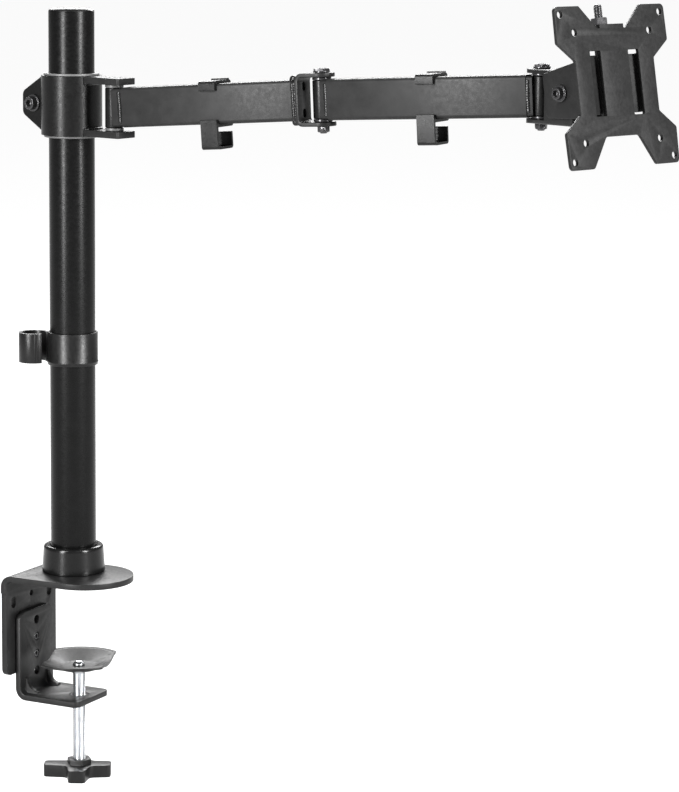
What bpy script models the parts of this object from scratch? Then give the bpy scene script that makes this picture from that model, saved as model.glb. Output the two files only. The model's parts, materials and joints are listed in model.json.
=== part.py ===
"""A desk-clamped single monitor arm: steel pole on a C-clamp, a collar that slides and turns on the pole,
two box-tube arms with vertical hinges, and a tilting, rotating VESA plate. Dimensions are in millimetres,
and MM turns them into Blender's metres. +X runs from the clamp along the straight arms, +Z is up, and the
origin is on the pole's axis at the face that rests on the desk."""

from math import atan2, cos, pi, radians, sin, sqrt

import bmesh
import bpy
from mathutils import Matrix, Vector

MM = 0.001
GAP = 0.3  # clearance between touching pieces

# Clamp
SHEET = 4.5  # thickness of both jaw brackets
CLAMP_Y = -7.5  # centre-line of the clamp, which stands off the pole's axis
JAW_RADIUS = 36.0
JAW_CENTRE = 17.0
LEG_BACK = -39.0
LEG_HALF_WIDTH = 35.0
LEG_BOTTOM = -75.5
JAW_BEND = 9.0
LOWER_BACK = LEG_BACK + SHEET + GAP
LOWER_HALF_WIDTH = 23.5
LOWER_TOP = -27.5
LOWER_JAW_TOP = -91.7
LOWER_JAW_END = 22.5
LOWER_BEND = 9.0
GUSSET = 7.5
HOLE_PITCH = 13.6
HOLE_HEIGHTS = [-36.7 - HOLE_PITCH * i for i in range(4)]
SCREW_X = 9.3  # axis of the clamp screw
SCREW_RADIUS = 5.0
PAD_RIM = -62.5
PAD_RADIUS = 35.0
PAD_FLAT = 24.0
PAD_TURN = radians(19.6)
HUB_TOP = -143.0
LOBE_TOP = -147.0
LOBE_BOTTOM = -156.7
LOBE_LEFT = 27.5
LOBE_RIGHT = 24.8
LOBE_FRONT = 23.5
LOBE_HALF_WIDTH = 6.35
KNOB_TURN = radians(26.6)

# Pole
POLE_RADIUS = 17.5
POLE_WALL = 2.0
POLE_TOP = 439.0
CAP_RISE = 2.4
BASE_COLLAR_TOP = 25.6
PLUG_TOP = 24.0
FOOT_SCREW_RING = 9.5
POLE_CLIP_LOW = 167.3
POLE_CLIP_HIGH = 192.6
POLE_CLIP_RADIUS = 19.4
HOOK_CENTRE = 30.0
HOOK_RADIUS = 11.6
HOOK_WALL = 2.2
POLE_CLIP_TURN = radians(206.6)

# Collar
COLLAR_Z = 367.6
COLLAR_TURN = radians(-10.4)
LINER_RADIUS = 19.6
LINER_FLANGE = 21.2
BAND_RADIUS = 23.3
BAND_HALF = 22.6
LUG_THICK = 5.0
LUG_HALF_WIDTH = 10.0
LUG_END = 12.5
SHOULDER_X = 44.0  # shoulder pin from the pole's axis
EAR_GAP = 5.0
EAR_THICK = 3.2
EAR_REACH = 46.0
EAR_BOLT_X = -34.5

# Arms
TUBE_HEIGHT = 30.0
TUBE_WIDTH = 20.0
TUBE_WALL = 1.6
TUBE_CORNER = 3.0
TUBE_START = 12.5  # from the pin's axis to the tube's square end, with weld between them
ELBOW_START = 8.6
WRIST_START = 7.6
BARREL_RADIUS = 7.0
PIN_RADIUS = 4.0
THREAD_RADIUS = 2.6
BARREL_HALF = 14.0
SHOULDER_BARREL_HALF = 15.0
ARM_1 = 177.8
ARM_1_RISE = 13.2
ARM_2 = 173.6
ARM_2_RISE = 9.4
ELBOW_LEAN = radians(2.7)  # the elbow bolt leans back with the raised tube
YOKE_SHEET = 3.0
YOKE_HALF_HEIGHT = 19.4
YOKE_WEB_X = -18.0
YOKE_HALF_WIDTH = 10.0
YOKE_ARC_X = -0.5  # centre of the flanges' round ends
CLIP_LENGTH = 14.2
CLIP_WALL = 1.9
CLIP_DROP = 16.4
CLIP_1_AT = 88.4
CLIP_2_AT = 88.5

# Head
WRIST_TURN = radians(-19.9)
WRIST_HALF_HEIGHT = 19.1
TILT_X = 33.0
TILT_Z = 4.0
TILT_UP = radians(9.87)
YOKE_SIDE = 12.0
YOKE_FRONT = 41.0
EAR_OUT = 15.6
EAR_REAR = 15.6
EAR_REAR_HALF = 15.4
FLANGE_END = 27.0
BRACKET_FRONT = 30.0
BRACKET_SHEET = 3.0

# VESA plate, measured from the tilt axis along the plate's normal
PLATE_FRONT = 39.5
PLATE_SHEET = 2.5
HOLE_RADIUS = 2.6
VESA_OUTER = 50.0
VESA_INNER = 37.5
ADAPTER_FRONT = PLATE_FRONT - PLATE_SHEET - GAP
ADAPTER_HALF = 14.0
RAIL_TOP = 22.0
RAIL_BOTTOM = -18.5
RAIL_OUT = 26.8
RAIL_IN = 11.6
RAIL_SHEET = 2.1
TAB_TOP = 42.6
TAB_BACK = 20.5
TAB_HALF = 11.8
LOCK_DEPTH = 28.5

UPRIGHT = Matrix.Rotation(pi / 2, 4, "X")  # outline x, y become x, z
FACING = Matrix(((0, 0, 1, 0), (1, 0, 0, 0), (0, 1, 0, 0), (0, 0, 0, 1)))  # outline x, y become y, z

for old in list(bpy.data.objects):
    bpy.data.objects.remove(old)

PARTS = bpy.data.collections.new("monitor_arm")
CUTTERS = bpy.data.collections.new("cutters")
FRAMES = bpy.data.collections.new("joint_frames")
for group in (PARTS, CUTTERS, FRAMES):
    bpy.context.scene.collection.children.link(group)


def material(name, grey, roughness, metallic):
    made = bpy.data.materials.new(name)
    made.use_nodes = True
    shader = made.node_tree.nodes["Principled BSDF"]
    shader.inputs["Base Color"].default_value = (grey, grey, grey, 1)
    shader.inputs["Roughness"].default_value = roughness
    shader.inputs["Metallic"].default_value = metallic
    return made


COATED = material("black_powder_coat", 0.035, 0.45, 0.0)
MOULDED = material("black_moulded_plastic", 0.03, 0.4, 0.0)
OXIDE = material("black_oxide_steel", 0.02, 0.3, 0.8)
ZINC = material("zinc_plated_steel", 0.75, 0.25, 1.0)
NYLON = material("grey_nylon", 0.08, 0.5, 0.0)


def joint_frame(name, location, parent=None, turn=0.0, up=0.0):
    """An empty on a joint's axis: turned about Z, then tipped up about its own Y."""
    empty = bpy.data.objects.new(name, None)
    FRAMES.objects.link(empty)
    empty.parent = parent
    move = Matrix.Translation(Vector(location) * MM)
    empty.matrix_local = move @ Matrix.Rotation(turn, 4, "Z") @ Matrix.Rotation(-up, 4, "Y")
    return empty


def arc(centre_x, centre_y, radius, start, end, steps):
    """Points along an arc, both ends included. Angles in degrees."""
    angles = [radians(start + (end - start) * i / steps) for i in range(steps + 1)]
    return [(centre_x + radius * cos(a), centre_y + radius * sin(a)) for a in angles]


def circle(centre_x, centre_y, radius, steps=20):
    return arc(centre_x, centre_y, radius, 0, 360, steps)[:-1]


def polygon(centre_x, centre_y, across_flats, sides=6, turn=0.0):
    return arc(centre_x, centre_y, across_flats / 2 / cos(pi / sides), turn, turn + 360, sides)[:-1]


def rounded(corners, steps=4):
    """An outline from corners (x, y, radius): each corner with a radius becomes an arc."""
    points = []
    for i, (x, y, radius) in enumerate(corners):
        here = Vector((x, y))
        if radius == 0:
            points.append((x, y))
            continue
        before = (Vector(corners[i - 1][:2]) - here).normalized()
        after = (Vector(corners[(i + 1) % len(corners)][:2]) - here).normalized()
        half = before.angle(after) / 2
        centre = here + (before + after).normalized() * radius / sin(half)
        first = here + before * radius * cos(half) / sin(half) - centre
        last = here + after * radius * cos(half) / sin(half) - centre
        sweep = first.angle_signed(last)
        for step in range(steps + 1):
            turn = -sweep * step / steps
            points.append(tuple(centre + Matrix.Rotation(turn, 2) @ first))
    return points


def prism_mesh(outlines, low, high, orient=None):
    """A flat outline with its holes, filled and extruded from low to high."""
    curve = bpy.data.curves.new("outline", "CURVE")
    curve.dimensions = "2D"
    curve.fill_mode = "BOTH"
    curve.extrude = (high - low) / 2 * MM
    for outline in outlines:
        spline = curve.splines.new("POLY")
        spline.points.add(len(outline) - 1)
        spline.use_cyclic_u = True
        for point, (x, y) in zip(spline.points, outline):
            point.co = (x * MM, y * MM, 0, 1)
    guide = bpy.data.objects.new("outline", curve)
    CUTTERS.objects.link(guide)
    graph = bpy.context.evaluated_depsgraph_get()
    mesh = bpy.data.meshes.new_from_object(guide.evaluated_get(graph))
    bpy.data.objects.remove(guide)
    bm = bmesh.new()
    bm.from_mesh(mesh)
    bmesh.ops.remove_doubles(bm, verts=bm.verts, dist=1e-7)
    bmesh.ops.recalc_face_normals(bm, faces=bm.faces)
    bmesh.ops.translate(bm, verts=bm.verts, vec=(0, 0, (low + high) / 2 * MM))
    bm.to_mesh(mesh)
    bm.free()
    if orient:
        mesh.transform(orient)
    return mesh


def cylinders_mesh(rods, orient=None):
    """Rods given as (x, y, radius, low, high, far radius or None), all along Z before orient."""
    bm = bmesh.new()
    for x, y, radius, low, high, far_radius in rods:
        bmesh.ops.create_cone(
            bm,
            cap_ends=True,
            segments=24,
            radius1=radius * MM,
            radius2=(far_radius or radius) * MM,
            depth=(high - low) * MM,
            matrix=Matrix.Translation(Vector((x, y, (low + high) / 2)) * MM),
        )
    mesh = bpy.data.meshes.new("rods")
    bm.to_mesh(mesh)
    bm.free()
    if orient:
        mesh.transform(orient)
    return mesh


def box_mesh(low, high):
    bm = bmesh.new()
    size = Vector(high) - Vector(low)
    middle = (Vector(high) + Vector(low)) / 2
    matrix = Matrix.Translation(middle * MM) @ Matrix.Diagonal((size * MM).to_4d())
    matrix[3][3] = 1
    bmesh.ops.create_cube(bm, size=1, matrix=matrix)
    mesh = bpy.data.meshes.new("box")
    bm.to_mesh(mesh)
    bm.free()
    return mesh


def piece(name, mesh, look, frame=None):
    obj = bpy.data.objects.new(name, mesh)
    PARTS.objects.link(obj)
    obj.parent = frame
    mesh.materials.append(look)
    mesh.shade_smooth()
    mesh.set_sharp_from_angle(angle=radians(35))
    return obj


def turned(name, profile, look, frame=None, matrix=None, steps=28, closed=False):
    """A profile of (radius, height) swept about Z. It runs down its outer side, from top to bottom."""
    mesh = bpy.data.meshes.new(name)
    edges = [(i, i + 1) for i in range(len(profile) - 1)]
    if closed:
        edges.append((len(profile) - 1, 0))
    mesh.from_pydata([(r * MM, 0, z * MM) for r, z in profile], edges, [])
    obj = bpy.data.objects.new(name, mesh)
    PARTS.objects.link(obj)
    obj.parent = frame
    mesh.materials.append(look)
    if matrix:
        obj.matrix_local = matrix
    screw = obj.modifiers.new("turn", "SCREW")
    screw.steps = steps
    screw.render_steps = steps
    screw.use_merge_vertices = True
    screw.merge_threshold = 0.000005
    screw.use_smooth_shade = True
    return obj


def boolean(obj, operation, mesh, frame=None):
    other = bpy.data.objects.new(obj.name + "_" + operation.lower(), mesh)
    CUTTERS.objects.link(other)
    other.parent = frame
    other.hide_render = True
    other.display_type = "WIRE"
    modifier = obj.modifiers.new(operation.lower(), "BOOLEAN")
    modifier.operation = operation
    modifier.object = other
    return obj


def ring_profile(inner, outer, low, high, chamfer=0.0):
    return [
        (inner, high),
        (outer - chamfer, high),
        (outer, high - chamfer),
        (outer, low + chamfer),
        (outer - chamfer, low),
        (inner, low),
    ]


def washer(name, inner, outer, low, high, look, frame, matrix=None):
    profile = [(inner, high), (outer, high), (outer, low), (inner, low)]
    return turned(name, profile, look, frame, matrix, steps=24, closed=True)


def along(direction, location=(0, 0, 0)):
    """A matrix that turns a shape's Z towards the direction and moves it to the location."""
    turn = Vector((0, 0, 1)).rotation_difference(Vector(direction)).to_matrix().to_4x4()
    return Matrix.Translation(Vector(location) * MM) @ turn


# ---------------------------------------------------------------- clamp


def upper_jaw():
    end = JAW_CENTRE + JAW_RADIUS + 4
    side = [
        (end, SHEET, 0),
        (LEG_BACK, SHEET, JAW_BEND),
        (LEG_BACK, LEG_BOTTOM - 6, 0),
        (LEG_BACK + SHEET, LEG_BOTTOM - 6, 0),
        (LEG_BACK + SHEET, 0, JAW_BEND - SHEET),
        (end, 0, 0),
    ]
    width = JAW_RADIUS + 12
    obj = piece("upper_jaw_bracket", prism_mesh([rounded(side, 6)], -width, width, UPRIGHT), COATED)
    near, far = CLAMP_Y - JAW_RADIUS, CLAMP_Y + JAW_RADIUS
    plan = [(-60, far), (-60, near)] + arc(JAW_CENTRE, CLAMP_Y, JAW_RADIUS, -90, 90, 32)
    boolean(obj, "INTERSECT", prism_mesh([plan], LEG_BOTTOM - 20, 20))
    near, far = CLAMP_Y - LEG_HALF_WIDTH, CLAMP_Y + LEG_HALF_WIDTH
    front = [
        (near - 20, 12, 0),
        (near - 20, -5, 0),
        (near, -9, 3),
        (near, LEG_BOTTOM, 6),
        (far, LEG_BOTTOM, 6),
        (far, -9, 3),
        (far + 20, -5, 0),
        (far + 20, 12, 0),
    ]
    boolean(obj, "INTERSECT", prism_mesh([rounded(front)], -60, 60, FACING))
    slots = [rounded([(y - 3, -23, 2.9), (y + 3, -23, 2.9), (y + 3, -14, 2.9), (y - 3, -14, 2.9)]) for y in (CLAMP_Y - 25, CLAMP_Y + 25)]
    for slot in slots:
        boolean(obj, "DIFFERENCE", prism_mesh([slot], LEG_BACK - 3, LEG_BACK + SHEET + 3, FACING))
    rods = [(CLAMP_Y, z, 3.3, LEG_BACK - 3, LEG_BACK + SHEET + 3, None) for z in HOLE_HEIGHTS[1:3]]
    rods.append((CLAMP_Y, -16, 2.2, LEG_BACK - 3, LEG_BACK + SHEET + 3, None))
    boolean(obj, "DIFFERENCE", cylinders_mesh(rods, FACING))
    rods = []
    for x, y in circle(0, 0, FOOT_SCREW_RING, 3):
        rods.append((x, y, 2.8, -2, SHEET + 2, None))
    boolean(obj, "DIFFERENCE", cylinders_mesh(rods))
    rods = [(x, y, 5.8, -0.6, 3.2, 2.0) for x, y in circle(0, 0, FOOT_SCREW_RING, 3)]
    boolean(obj, "DIFFERENCE", cylinders_mesh(rods))
    return obj


def lower_jaw():
    side = [
        (LOWER_BACK, LOWER_TOP + 5, 0),
        (LOWER_BACK, LOWER_JAW_TOP - SHEET, LOWER_BEND),
        (LOWER_JAW_END + 5, LOWER_JAW_TOP - SHEET, 0),
        (LOWER_JAW_END + 5, LOWER_JAW_TOP, 0),
        (LOWER_BACK + SHEET, LOWER_JAW_TOP, LOWER_BEND - SHEET),
        (LOWER_BACK + SHEET, LOWER_TOP + 5, 0),
    ]
    width = LOWER_HALF_WIDTH + 12
    near, far = CLAMP_Y - LOWER_HALF_WIDTH, CLAMP_Y + LOWER_HALF_WIDTH
    obj = piece("lower_jaw_bracket", prism_mesh([rounded(side, 6)], -width, width, UPRIGHT), COATED)
    plan = [
        (LOWER_BACK - 5, near, 0),
        (LOWER_JAW_END, near, 5),
        (LOWER_JAW_END, far, 5),
        (LOWER_BACK - 5, far, 0),
    ]
    boolean(obj, "INTERSECT", prism_mesh([rounded(plan)], -110, 0))
    front = [
        (near - 1, -115, 0),
        (far + 1, -115, 0),
        (far + 1, LOWER_TOP, 9),
        (near - 1, LOWER_TOP, 9),
    ]
    boolean(obj, "INTERSECT", prism_mesh([rounded(front)], -60, 60, FACING))
    inner = LOWER_BACK + SHEET
    reach = GUSSET + LOWER_BEND - SHEET
    rib = [(inner - 1, LOWER_JAW_TOP - 1), (inner + reach, LOWER_JAW_TOP - 1), (inner - 1, LOWER_JAW_TOP + reach)]
    for y in (CLAMP_Y - 15, CLAMP_Y + 15):
        boolean(obj, "UNION", prism_mesh([rib], -y - 2, -y + 2, UPRIGHT))
    rods = [(CLAMP_Y, z, 3.3, LOWER_BACK - 3, LOWER_BACK + SHEET + 3, None) for z in HOLE_HEIGHTS]
    boolean(obj, "DIFFERENCE", cylinders_mesh(rods, FACING))
    rods = [(SCREW_X, CLAMP_Y, 7.3, LOWER_JAW_TOP - SHEET - 3, LOWER_JAW_TOP + 3, None)]
    boolean(obj, "DIFFERENCE", cylinders_mesh(rods))
    return obj


def jaw_bolts():
    """Button-head screws from behind, threaded into the lower bracket, with a hex socket in their ends."""
    head_face = LEG_BACK - GAP
    end = LOWER_BACK + SHEET - 0.4
    for name, z in zip(("jaw_bolt_upper", "jaw_bolt_lower"), HOLE_HEIGHTS[1:3]):
        profile = [
            (0, end - 2.5),
            (1.6, end - 2.5),
            (1.6, end),
            (2.6, end),
            (3.0, end - 0.4),
            (3.0, head_face),
            (5.2, head_face),
            (5.2, head_face - 1.0),
            (4.2, head_face - 2.6),
            (2.8, head_face - 3.1),
            (0, head_face - 3.1),
        ]
        turned(name, profile, OXIDE, None, along((1, 0, 0), (0, CLAMP_Y, z)), steps=24)


def clamp_nut():
    """Threaded bush pressed into the lower jaw from below."""
    profile = [
        (5.3, LOWER_JAW_TOP),
        (7.0, LOWER_JAW_TOP),
        (7.0, LOWER_JAW_TOP - SHEET - GAP),
        (8.6, LOWER_JAW_TOP - SHEET - GAP),
        (8.6, LOWER_JAW_TOP - SHEET - 2.2),
        (5.3, LOWER_JAW_TOP - SHEET - 2.2),
    ]
    matrix = Matrix.Translation((SCREW_X * MM, CLAMP_Y * MM, 0))
    turned("clamp_threaded_bush", profile, OXIDE, None, matrix, steps=28, closed=True)


def clamp_screw(frame):
    """M10 rod, riveted over above the pad's hole."""
    seat = PAD_RIM - 8.6
    profile = [
        (0, seat + 5.0),
        (2.6, seat + 4.8),
        (4.6, seat + 3.9),
        (4.6, seat + 2.9),
        (3.6, seat + 2.9),
        (3.6, seat - GAP),
        (SCREW_RADIUS - 0.6, seat - GAP),
        (SCREW_RADIUS, seat - 1.0),
        (SCREW_RADIUS, LOBE_BOTTOM + 5.0),
        (0, LOBE_BOTTOM + 5.0),
    ]
    turned("clamp_screw", profile, ZINC, frame, steps=28)


def clamp_pad(frame):
    """Pressed dish with two flats and a flat rim."""
    seat = PAD_RIM - 8.6
    outer = [(PAD_RADIUS, PAD_RIM), (PAD_RADIUS, PAD_RIM - 2.1), (PAD_RADIUS - 4.5, PAD_RIM - 2.1)]
    under = [(14, seat), (3.95, seat)]
    over = [(3.95, seat + 2.6), (13.0, seat + 2.6), (PAD_RADIUS - 5.0, PAD_RIM)]
    obj = turned("clamp_pad", over + outer + under, COATED, frame, steps=40, closed=True)
    keep = [(-60, -PAD_FLAT), (60, -PAD_FLAT), (60, PAD_FLAT), (-60, PAD_FLAT)]
    cutter = prism_mesh([keep], PAD_RIM - 30, PAD_RIM + 10, Matrix.Rotation(PAD_TURN + pi / 2, 4, "Z"))
    boolean(obj, "INTERSECT", cutter, frame)


def knob(frame):
    """Flat hand knob: one lobe to the front, two to the sides, and a hexagonal hub on top."""
    half = LOBE_HALF_WIDTH
    outline = [
        (-LOBE_LEFT, half, 3.0),
        (-LOBE_LEFT, -half, 3.0),
        (-half - 2.6, -half - 2.0, 5.0),
        (-half, -LOBE_FRONT, 3.0),
        (half, -LOBE_FRONT, 3.0),
        (half + 2.6, -half - 2.0, 5.0),
        (LOBE_RIGHT, -half, 3.0),
        (LOBE_RIGHT, half, 3.0),
        (11.0, half + 0.6, 4.0),
        (5.5, 10.4, 3.0),
        (-5.5, 10.4, 3.0),
        (-11.0, half + 0.6, 4.0),
    ]
    lobes = prism_mesh([rounded(outline)], LOBE_BOTTOM, LOBE_TOP, Matrix.Rotation(KNOB_TURN, 4, "Z"))
    obj = piece("clamp_knob", lobes, MOULDED, frame)
    hub = polygon(0, 0, 17.0, 6, 15)
    boolean(obj, "UNION", prism_mesh([hub], LOBE_BOTTOM + 2, HUB_TOP), frame)
    bore = cylinders_mesh([(0, 0, SCREW_RADIUS + GAP, LOBE_BOTTOM + 4.7, HUB_TOP + 3, None)])
    boolean(obj, "DIFFERENCE", bore, frame)


# ---------------------------------------------------------------- pole


def pole():
    foot = SHEET + GAP
    profile = ring_profile(POLE_RADIUS - POLE_WALL, POLE_RADIUS, foot, POLE_TOP, 0.3)
    turned("pole", profile, COATED, steps=48, closed=True)
    inner = POLE_RADIUS - POLE_WALL - GAP
    dome = [(POLE_RADIUS * sin(radians(a)), POLE_TOP + GAP + 0.9 + (CAP_RISE - 0.9) * cos(radians(a))) for a in (0, 25, 50, 75, 90)]
    skirt = [(POLE_RADIUS, POLE_TOP + GAP), (inner, POLE_TOP + GAP), (inner, POLE_TOP - 12), (0, POLE_TOP - 12)]
    turned("pole_top_cap", dome + skirt, MOULDED, steps=48)
    collar = [
        (POLE_RADIUS + GAP, BASE_COLLAR_TOP - 1.6),
        (POLE_RADIUS + 1.7, BASE_COLLAR_TOP - 0.3),
        (20.4, BASE_COLLAR_TOP),
        (22.2, BASE_COLLAR_TOP - 0.6),
        (23.1, BASE_COLLAR_TOP - 2.0),
        (24.4, foot + 0.8),
        (24.4, foot),
        (POLE_RADIUS + GAP, foot),
    ]
    turned("pole_base_collar", collar, MOULDED, steps=48, closed=True)
    plug = turned("pole_foot_plug", [(0, PLUG_TOP), (inner, PLUG_TOP), (inner, foot), (0, foot)], OXIDE, steps=32)
    rods = [(x, y, 2.8, 0, 20, None) for x, y in circle(0, 0, FOOT_SCREW_RING, 3)]
    boolean(plug, "DIFFERENCE", cylinders_mesh(rods))
    for i, (x, y) in enumerate(circle(0, 0, FOOT_SCREW_RING, 3)):
        screw = [(0, 18.5), (2.5, 18.5), (2.5, 2.4), (4.1, 0.8), (4.1, 0.2), (0, 0.2)]
        matrix = Matrix.Translation((x * MM, y * MM, 0))
        turned(f"foot_screw_{i + 1}", screw, OXIDE, None, matrix, steps=20)


def pole_cable_clip(frame):
    """Snap band round the pole with a curled C-hook that opens towards the front."""
    inner = POLE_RADIUS + GAP
    band = [circle(0, 0, POLE_CLIP_RADIUS, 40), circle(0, 0, inner, 40)]
    obj = piece("pole_cable_clip", prism_mesh(band, POLE_CLIP_LOW, POLE_CLIP_HIGH), MOULDED, frame)
    hook = arc(HOOK_CENTRE, 0, HOOK_RADIUS, -176, 128, 30)
    hook += arc(HOOK_CENTRE, 0, HOOK_RADIUS - HOOK_WALL, 128, -176, 30)
    low, high = POLE_CLIP_LOW + 1.5, POLE_CLIP_HIGH - 0.8
    boolean(obj, "UNION", prism_mesh([hook], low, high), frame)


# ---------------------------------------------------------------- collar


def collar(slide_frame, frame):
    inner = POLE_RADIUS + GAP
    liner = [
        (inner, BAND_HALF + 1.9),
        (LINER_FLANGE - 0.4, BAND_HALF + 1.9),
        (LINER_FLANGE, BAND_HALF + 1.5),
        (LINER_FLANGE, BAND_HALF + GAP),
        (LINER_RADIUS - GAP, BAND_HALF + GAP),
        (LINER_RADIUS - GAP, -BAND_HALF - GAP),
        (LINER_FLANGE, -BAND_HALF - GAP),
        (LINER_FLANGE, -BAND_HALF - 1.5),
        (LINER_FLANGE - 0.4, -BAND_HALF - 1.9),
        (inner, -BAND_HALF - 1.9),
    ]
    turned("collar_liner", liner, NYLON, slide_frame, steps=40, closed=True)

    half = BAND_HALF
    band = piece("collar_band", prism_mesh([circle(0, 0, BAND_RADIUS, 44)], -half, half), COATED, frame)
    inside = EAR_GAP / 2
    ear = [(-BAND_RADIUS + 3, half, 0), (-BAND_RADIUS, half, 0), (-EAR_REACH, 8.5, 5), (-EAR_REACH, -8.5, 5)]
    ear += [(-BAND_RADIUS, -half, 0), (-BAND_RADIUS + 3, -half, 0)]
    for low in (-inside - EAR_THICK, inside):
        boolean(band, "UNION", prism_mesh([rounded(ear)], low, low + EAR_THICK, UPRIGHT), frame)
    boolean(band, "DIFFERENCE", prism_mesh([circle(0, 0, LINER_RADIUS, 44)], -half - 5, half + 5), frame)
    boolean(band, "DIFFERENCE", box_mesh((-EAR_REACH - 5, -inside, -half - 6), (-10, inside, half + 6)), frame)
    bolt_hole = cylinders_mesh([(EAR_BOLT_X, 0, 3.4, -12, 12, None)], UPRIGHT)
    boolean(band, "DIFFERENCE", bolt_hole, frame)

    seat = BAND_RADIUS + GAP
    start = sqrt(seat**2 - LUG_HALF_WIDTH**2)
    end = SHOULDER_X + LUG_END
    for name, low in (("shoulder_lug_upper", half - LUG_THICK), ("shoulder_lug_lower", -half)):
        wide = atan2(LUG_HALF_WIDTH, start) * 180 / pi
        curve_in = arc(0, 0, seat, wide, -wide, 8)
        outline = [(x, y, 0) for x, y in curve_in[1:-1]]
        outline = [(start, LUG_HALF_WIDTH, 0)] + outline + [(start, -LUG_HALF_WIDTH, 0)]
        outline += [(end, -LUG_HALF_WIDTH, 1.5), (end, LUG_HALF_WIDTH, 1.5)]
        hole = circle(SHOULDER_X, 0, PIN_RADIUS + GAP)
        piece(name, prism_mesh([rounded(outline), hole], low, low + LUG_THICK), COATED, frame)

    pin = [(0, half), (PIN_RADIUS - 0.4, half), (PIN_RADIUS, half - 0.4)]
    pin += [(PIN_RADIUS, -half + 0.4), (PIN_RADIUS - 0.4, -half), (0, -half)]
    shoulder = Matrix.Translation((SHOULDER_X * MM, 0, 0))
    turned("shoulder_pin", pin, OXIDE, frame, shoulder, steps=24)
    high = half - LUG_THICK - GAP
    low = SHOULDER_BARREL_HALF + GAP
    washer("shoulder_washer_upper", PIN_RADIUS + GAP, BARREL_RADIUS, low, high, NYLON, frame, shoulder)
    washer("shoulder_washer_lower", PIN_RADIUS + GAP, BARREL_RADIUS, -high, -low, NYLON, frame, shoulder)

    face = inside + EAR_THICK + GAP
    bolt = [
        (0, face + 1.4),
        (2.6, face + 1.4),
        (2.6, face + 5.6),
        (4.6, face + 5.6),
        (5.4, face + 4.8),
        (5.4, face + 1.2),
        (6.6, face + 1.2),
        (6.6, face),
        (3.0, face),
        (3.0, -face - 6.2),
        (0, -face - 6.2),
    ]
    turned("collar_clamp_bolt", bolt, OXIDE, frame, along((0, -1, 0), (EAR_BOLT_X, 0, 0)), steps=24)
    nut = [polygon(EAR_BOLT_X, 0, 10.0), circle(EAR_BOLT_X, 0, 3.0 + GAP)]
    piece("collar_clamp_nut", prism_mesh(nut, -face - 5.0, -face, UPRIGHT), OXIDE, frame)


# ---------------------------------------------------------------- arms


def barrel(name, half, frame, at=(0, 0, 0)):
    profile = ring_profile(PIN_RADIUS + GAP, BARREL_RADIUS, -half, half, 0.5)
    turned(name, profile, COATED, frame, Matrix.Translation(Vector(at) * MM), steps=32, closed=True)


def tube(name, start, end, frame, welds):
    """Box tube. A welds entry (low, high) is the narrower collar of weld between an open end and its barrel."""
    half_y, half_z = TUBE_WIDTH / 2, TUBE_HEIGHT / 2

    def section(inset, corner):
        y, z = half_y - inset, half_z - inset
        return rounded([(-y, -z, corner), (y, -z, corner), (y, z, corner), (-y, z, corner)])

    outlines = [section(0, TUBE_CORNER), section(TUBE_WALL, TUBE_CORNER - TUBE_WALL)]
    obj = piece(name, prism_mesh(outlines, start, end, FACING), COATED, frame)
    for low, high in welds:
        boolean(obj, "UNION", prism_mesh([section(0.8, 2.2), section(3.2, 1.0)], low, high, FACING), frame)
    return obj


def scoop(obj, radius, frame):
    boolean(obj, "DIFFERENCE", cylinders_mesh([(0, 0, radius, -40, 40, None)]), frame)


def elbow_yoke(frame):
    """U-bracket at the end of arm 1, with a pierced web and two rounded flanges round the elbow bolt."""
    high = YOKE_HALF_HEIGHT
    sheet = YOKE_SHEET
    side = [
        (YOKE_WEB_X, high, 6),
        (YOKE_WEB_X, -high, 6),
        (30, -high, 0),
        (30, -high + sheet, 0),
        (YOKE_WEB_X + sheet, -high + sheet, 3),
        (YOKE_WEB_X + sheet, high - sheet, 3),
        (30, high - sheet, 0),
        (30, high, 0),
    ]
    obj = piece("arm1_elbow_yoke", prism_mesh([rounded(side)], -14, 14, UPRIGHT), COATED, frame)
    half = YOKE_HALF_WIDTH
    plan = [(-30, half), (-30, -half)] + arc(YOKE_ARC_X, 0, half, -90, 90, 14)
    boolean(obj, "INTERSECT", prism_mesh([plan], -40, 40), frame)
    bolt_hole = cylinders_mesh([(0, 0, PIN_RADIUS + GAP, -30, 30, None)])
    boolean(obj, "DIFFERENCE", bolt_hole, frame)
    for z in (-9.8, 9.8):
        oval = rounded([(-2.2, z - 3.2, 2.1), (2.2, z - 3.2, 2.1), (2.2, z + 3.2, 2.1), (-2.2, z + 3.2, 2.1)])
        boolean(obj, "DIFFERENCE", prism_mesh([oval], YOKE_WEB_X - 3, YOKE_WEB_X + sheet + 3, FACING), frame)


def hinge_hardware(prefix, half, frame, nut_width):
    """Low-head bolt, flanged nut and two friction washers of a hinge whose flanges end at half."""
    top = half + GAP
    bolt = [
        (0, top + 1.0),
        (2.5, top + 1.0),
        (2.5, top + 3.0),
        (5.6, top + 3.0),
        (6.2, top + 2.5),
        (6.2, top),
        (PIN_RADIUS, top),
        (PIN_RADIUS, -half + YOKE_SHEET),
        (THREAD_RADIUS, -half + YOKE_SHEET - 0.4),
        (THREAD_RADIUS, -top - 4.6),
        (THREAD_RADIUS - 0.5, -top - 5.1),
        (0, -top - 5.1),
    ]
    turned(f"{prefix}_bolt", bolt, OXIDE, frame, steps=24)
    nut = [polygon(0, 0, nut_width), circle(0, 0, THREAD_RADIUS + GAP)]
    piece(f"{prefix}_nut", prism_mesh(nut, -top - 4.2, -top), OXIDE, frame)
    high = half - YOKE_SHEET - GAP
    low = BARREL_HALF + GAP
    washer(f"{prefix}_washer_upper", PIN_RADIUS + GAP, BARREL_RADIUS, low, high, NYLON, frame)
    washer(f"{prefix}_washer_lower", PIN_RADIUS + GAP, BARREL_RADIUS, -high, -low, NYLON, frame)


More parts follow.
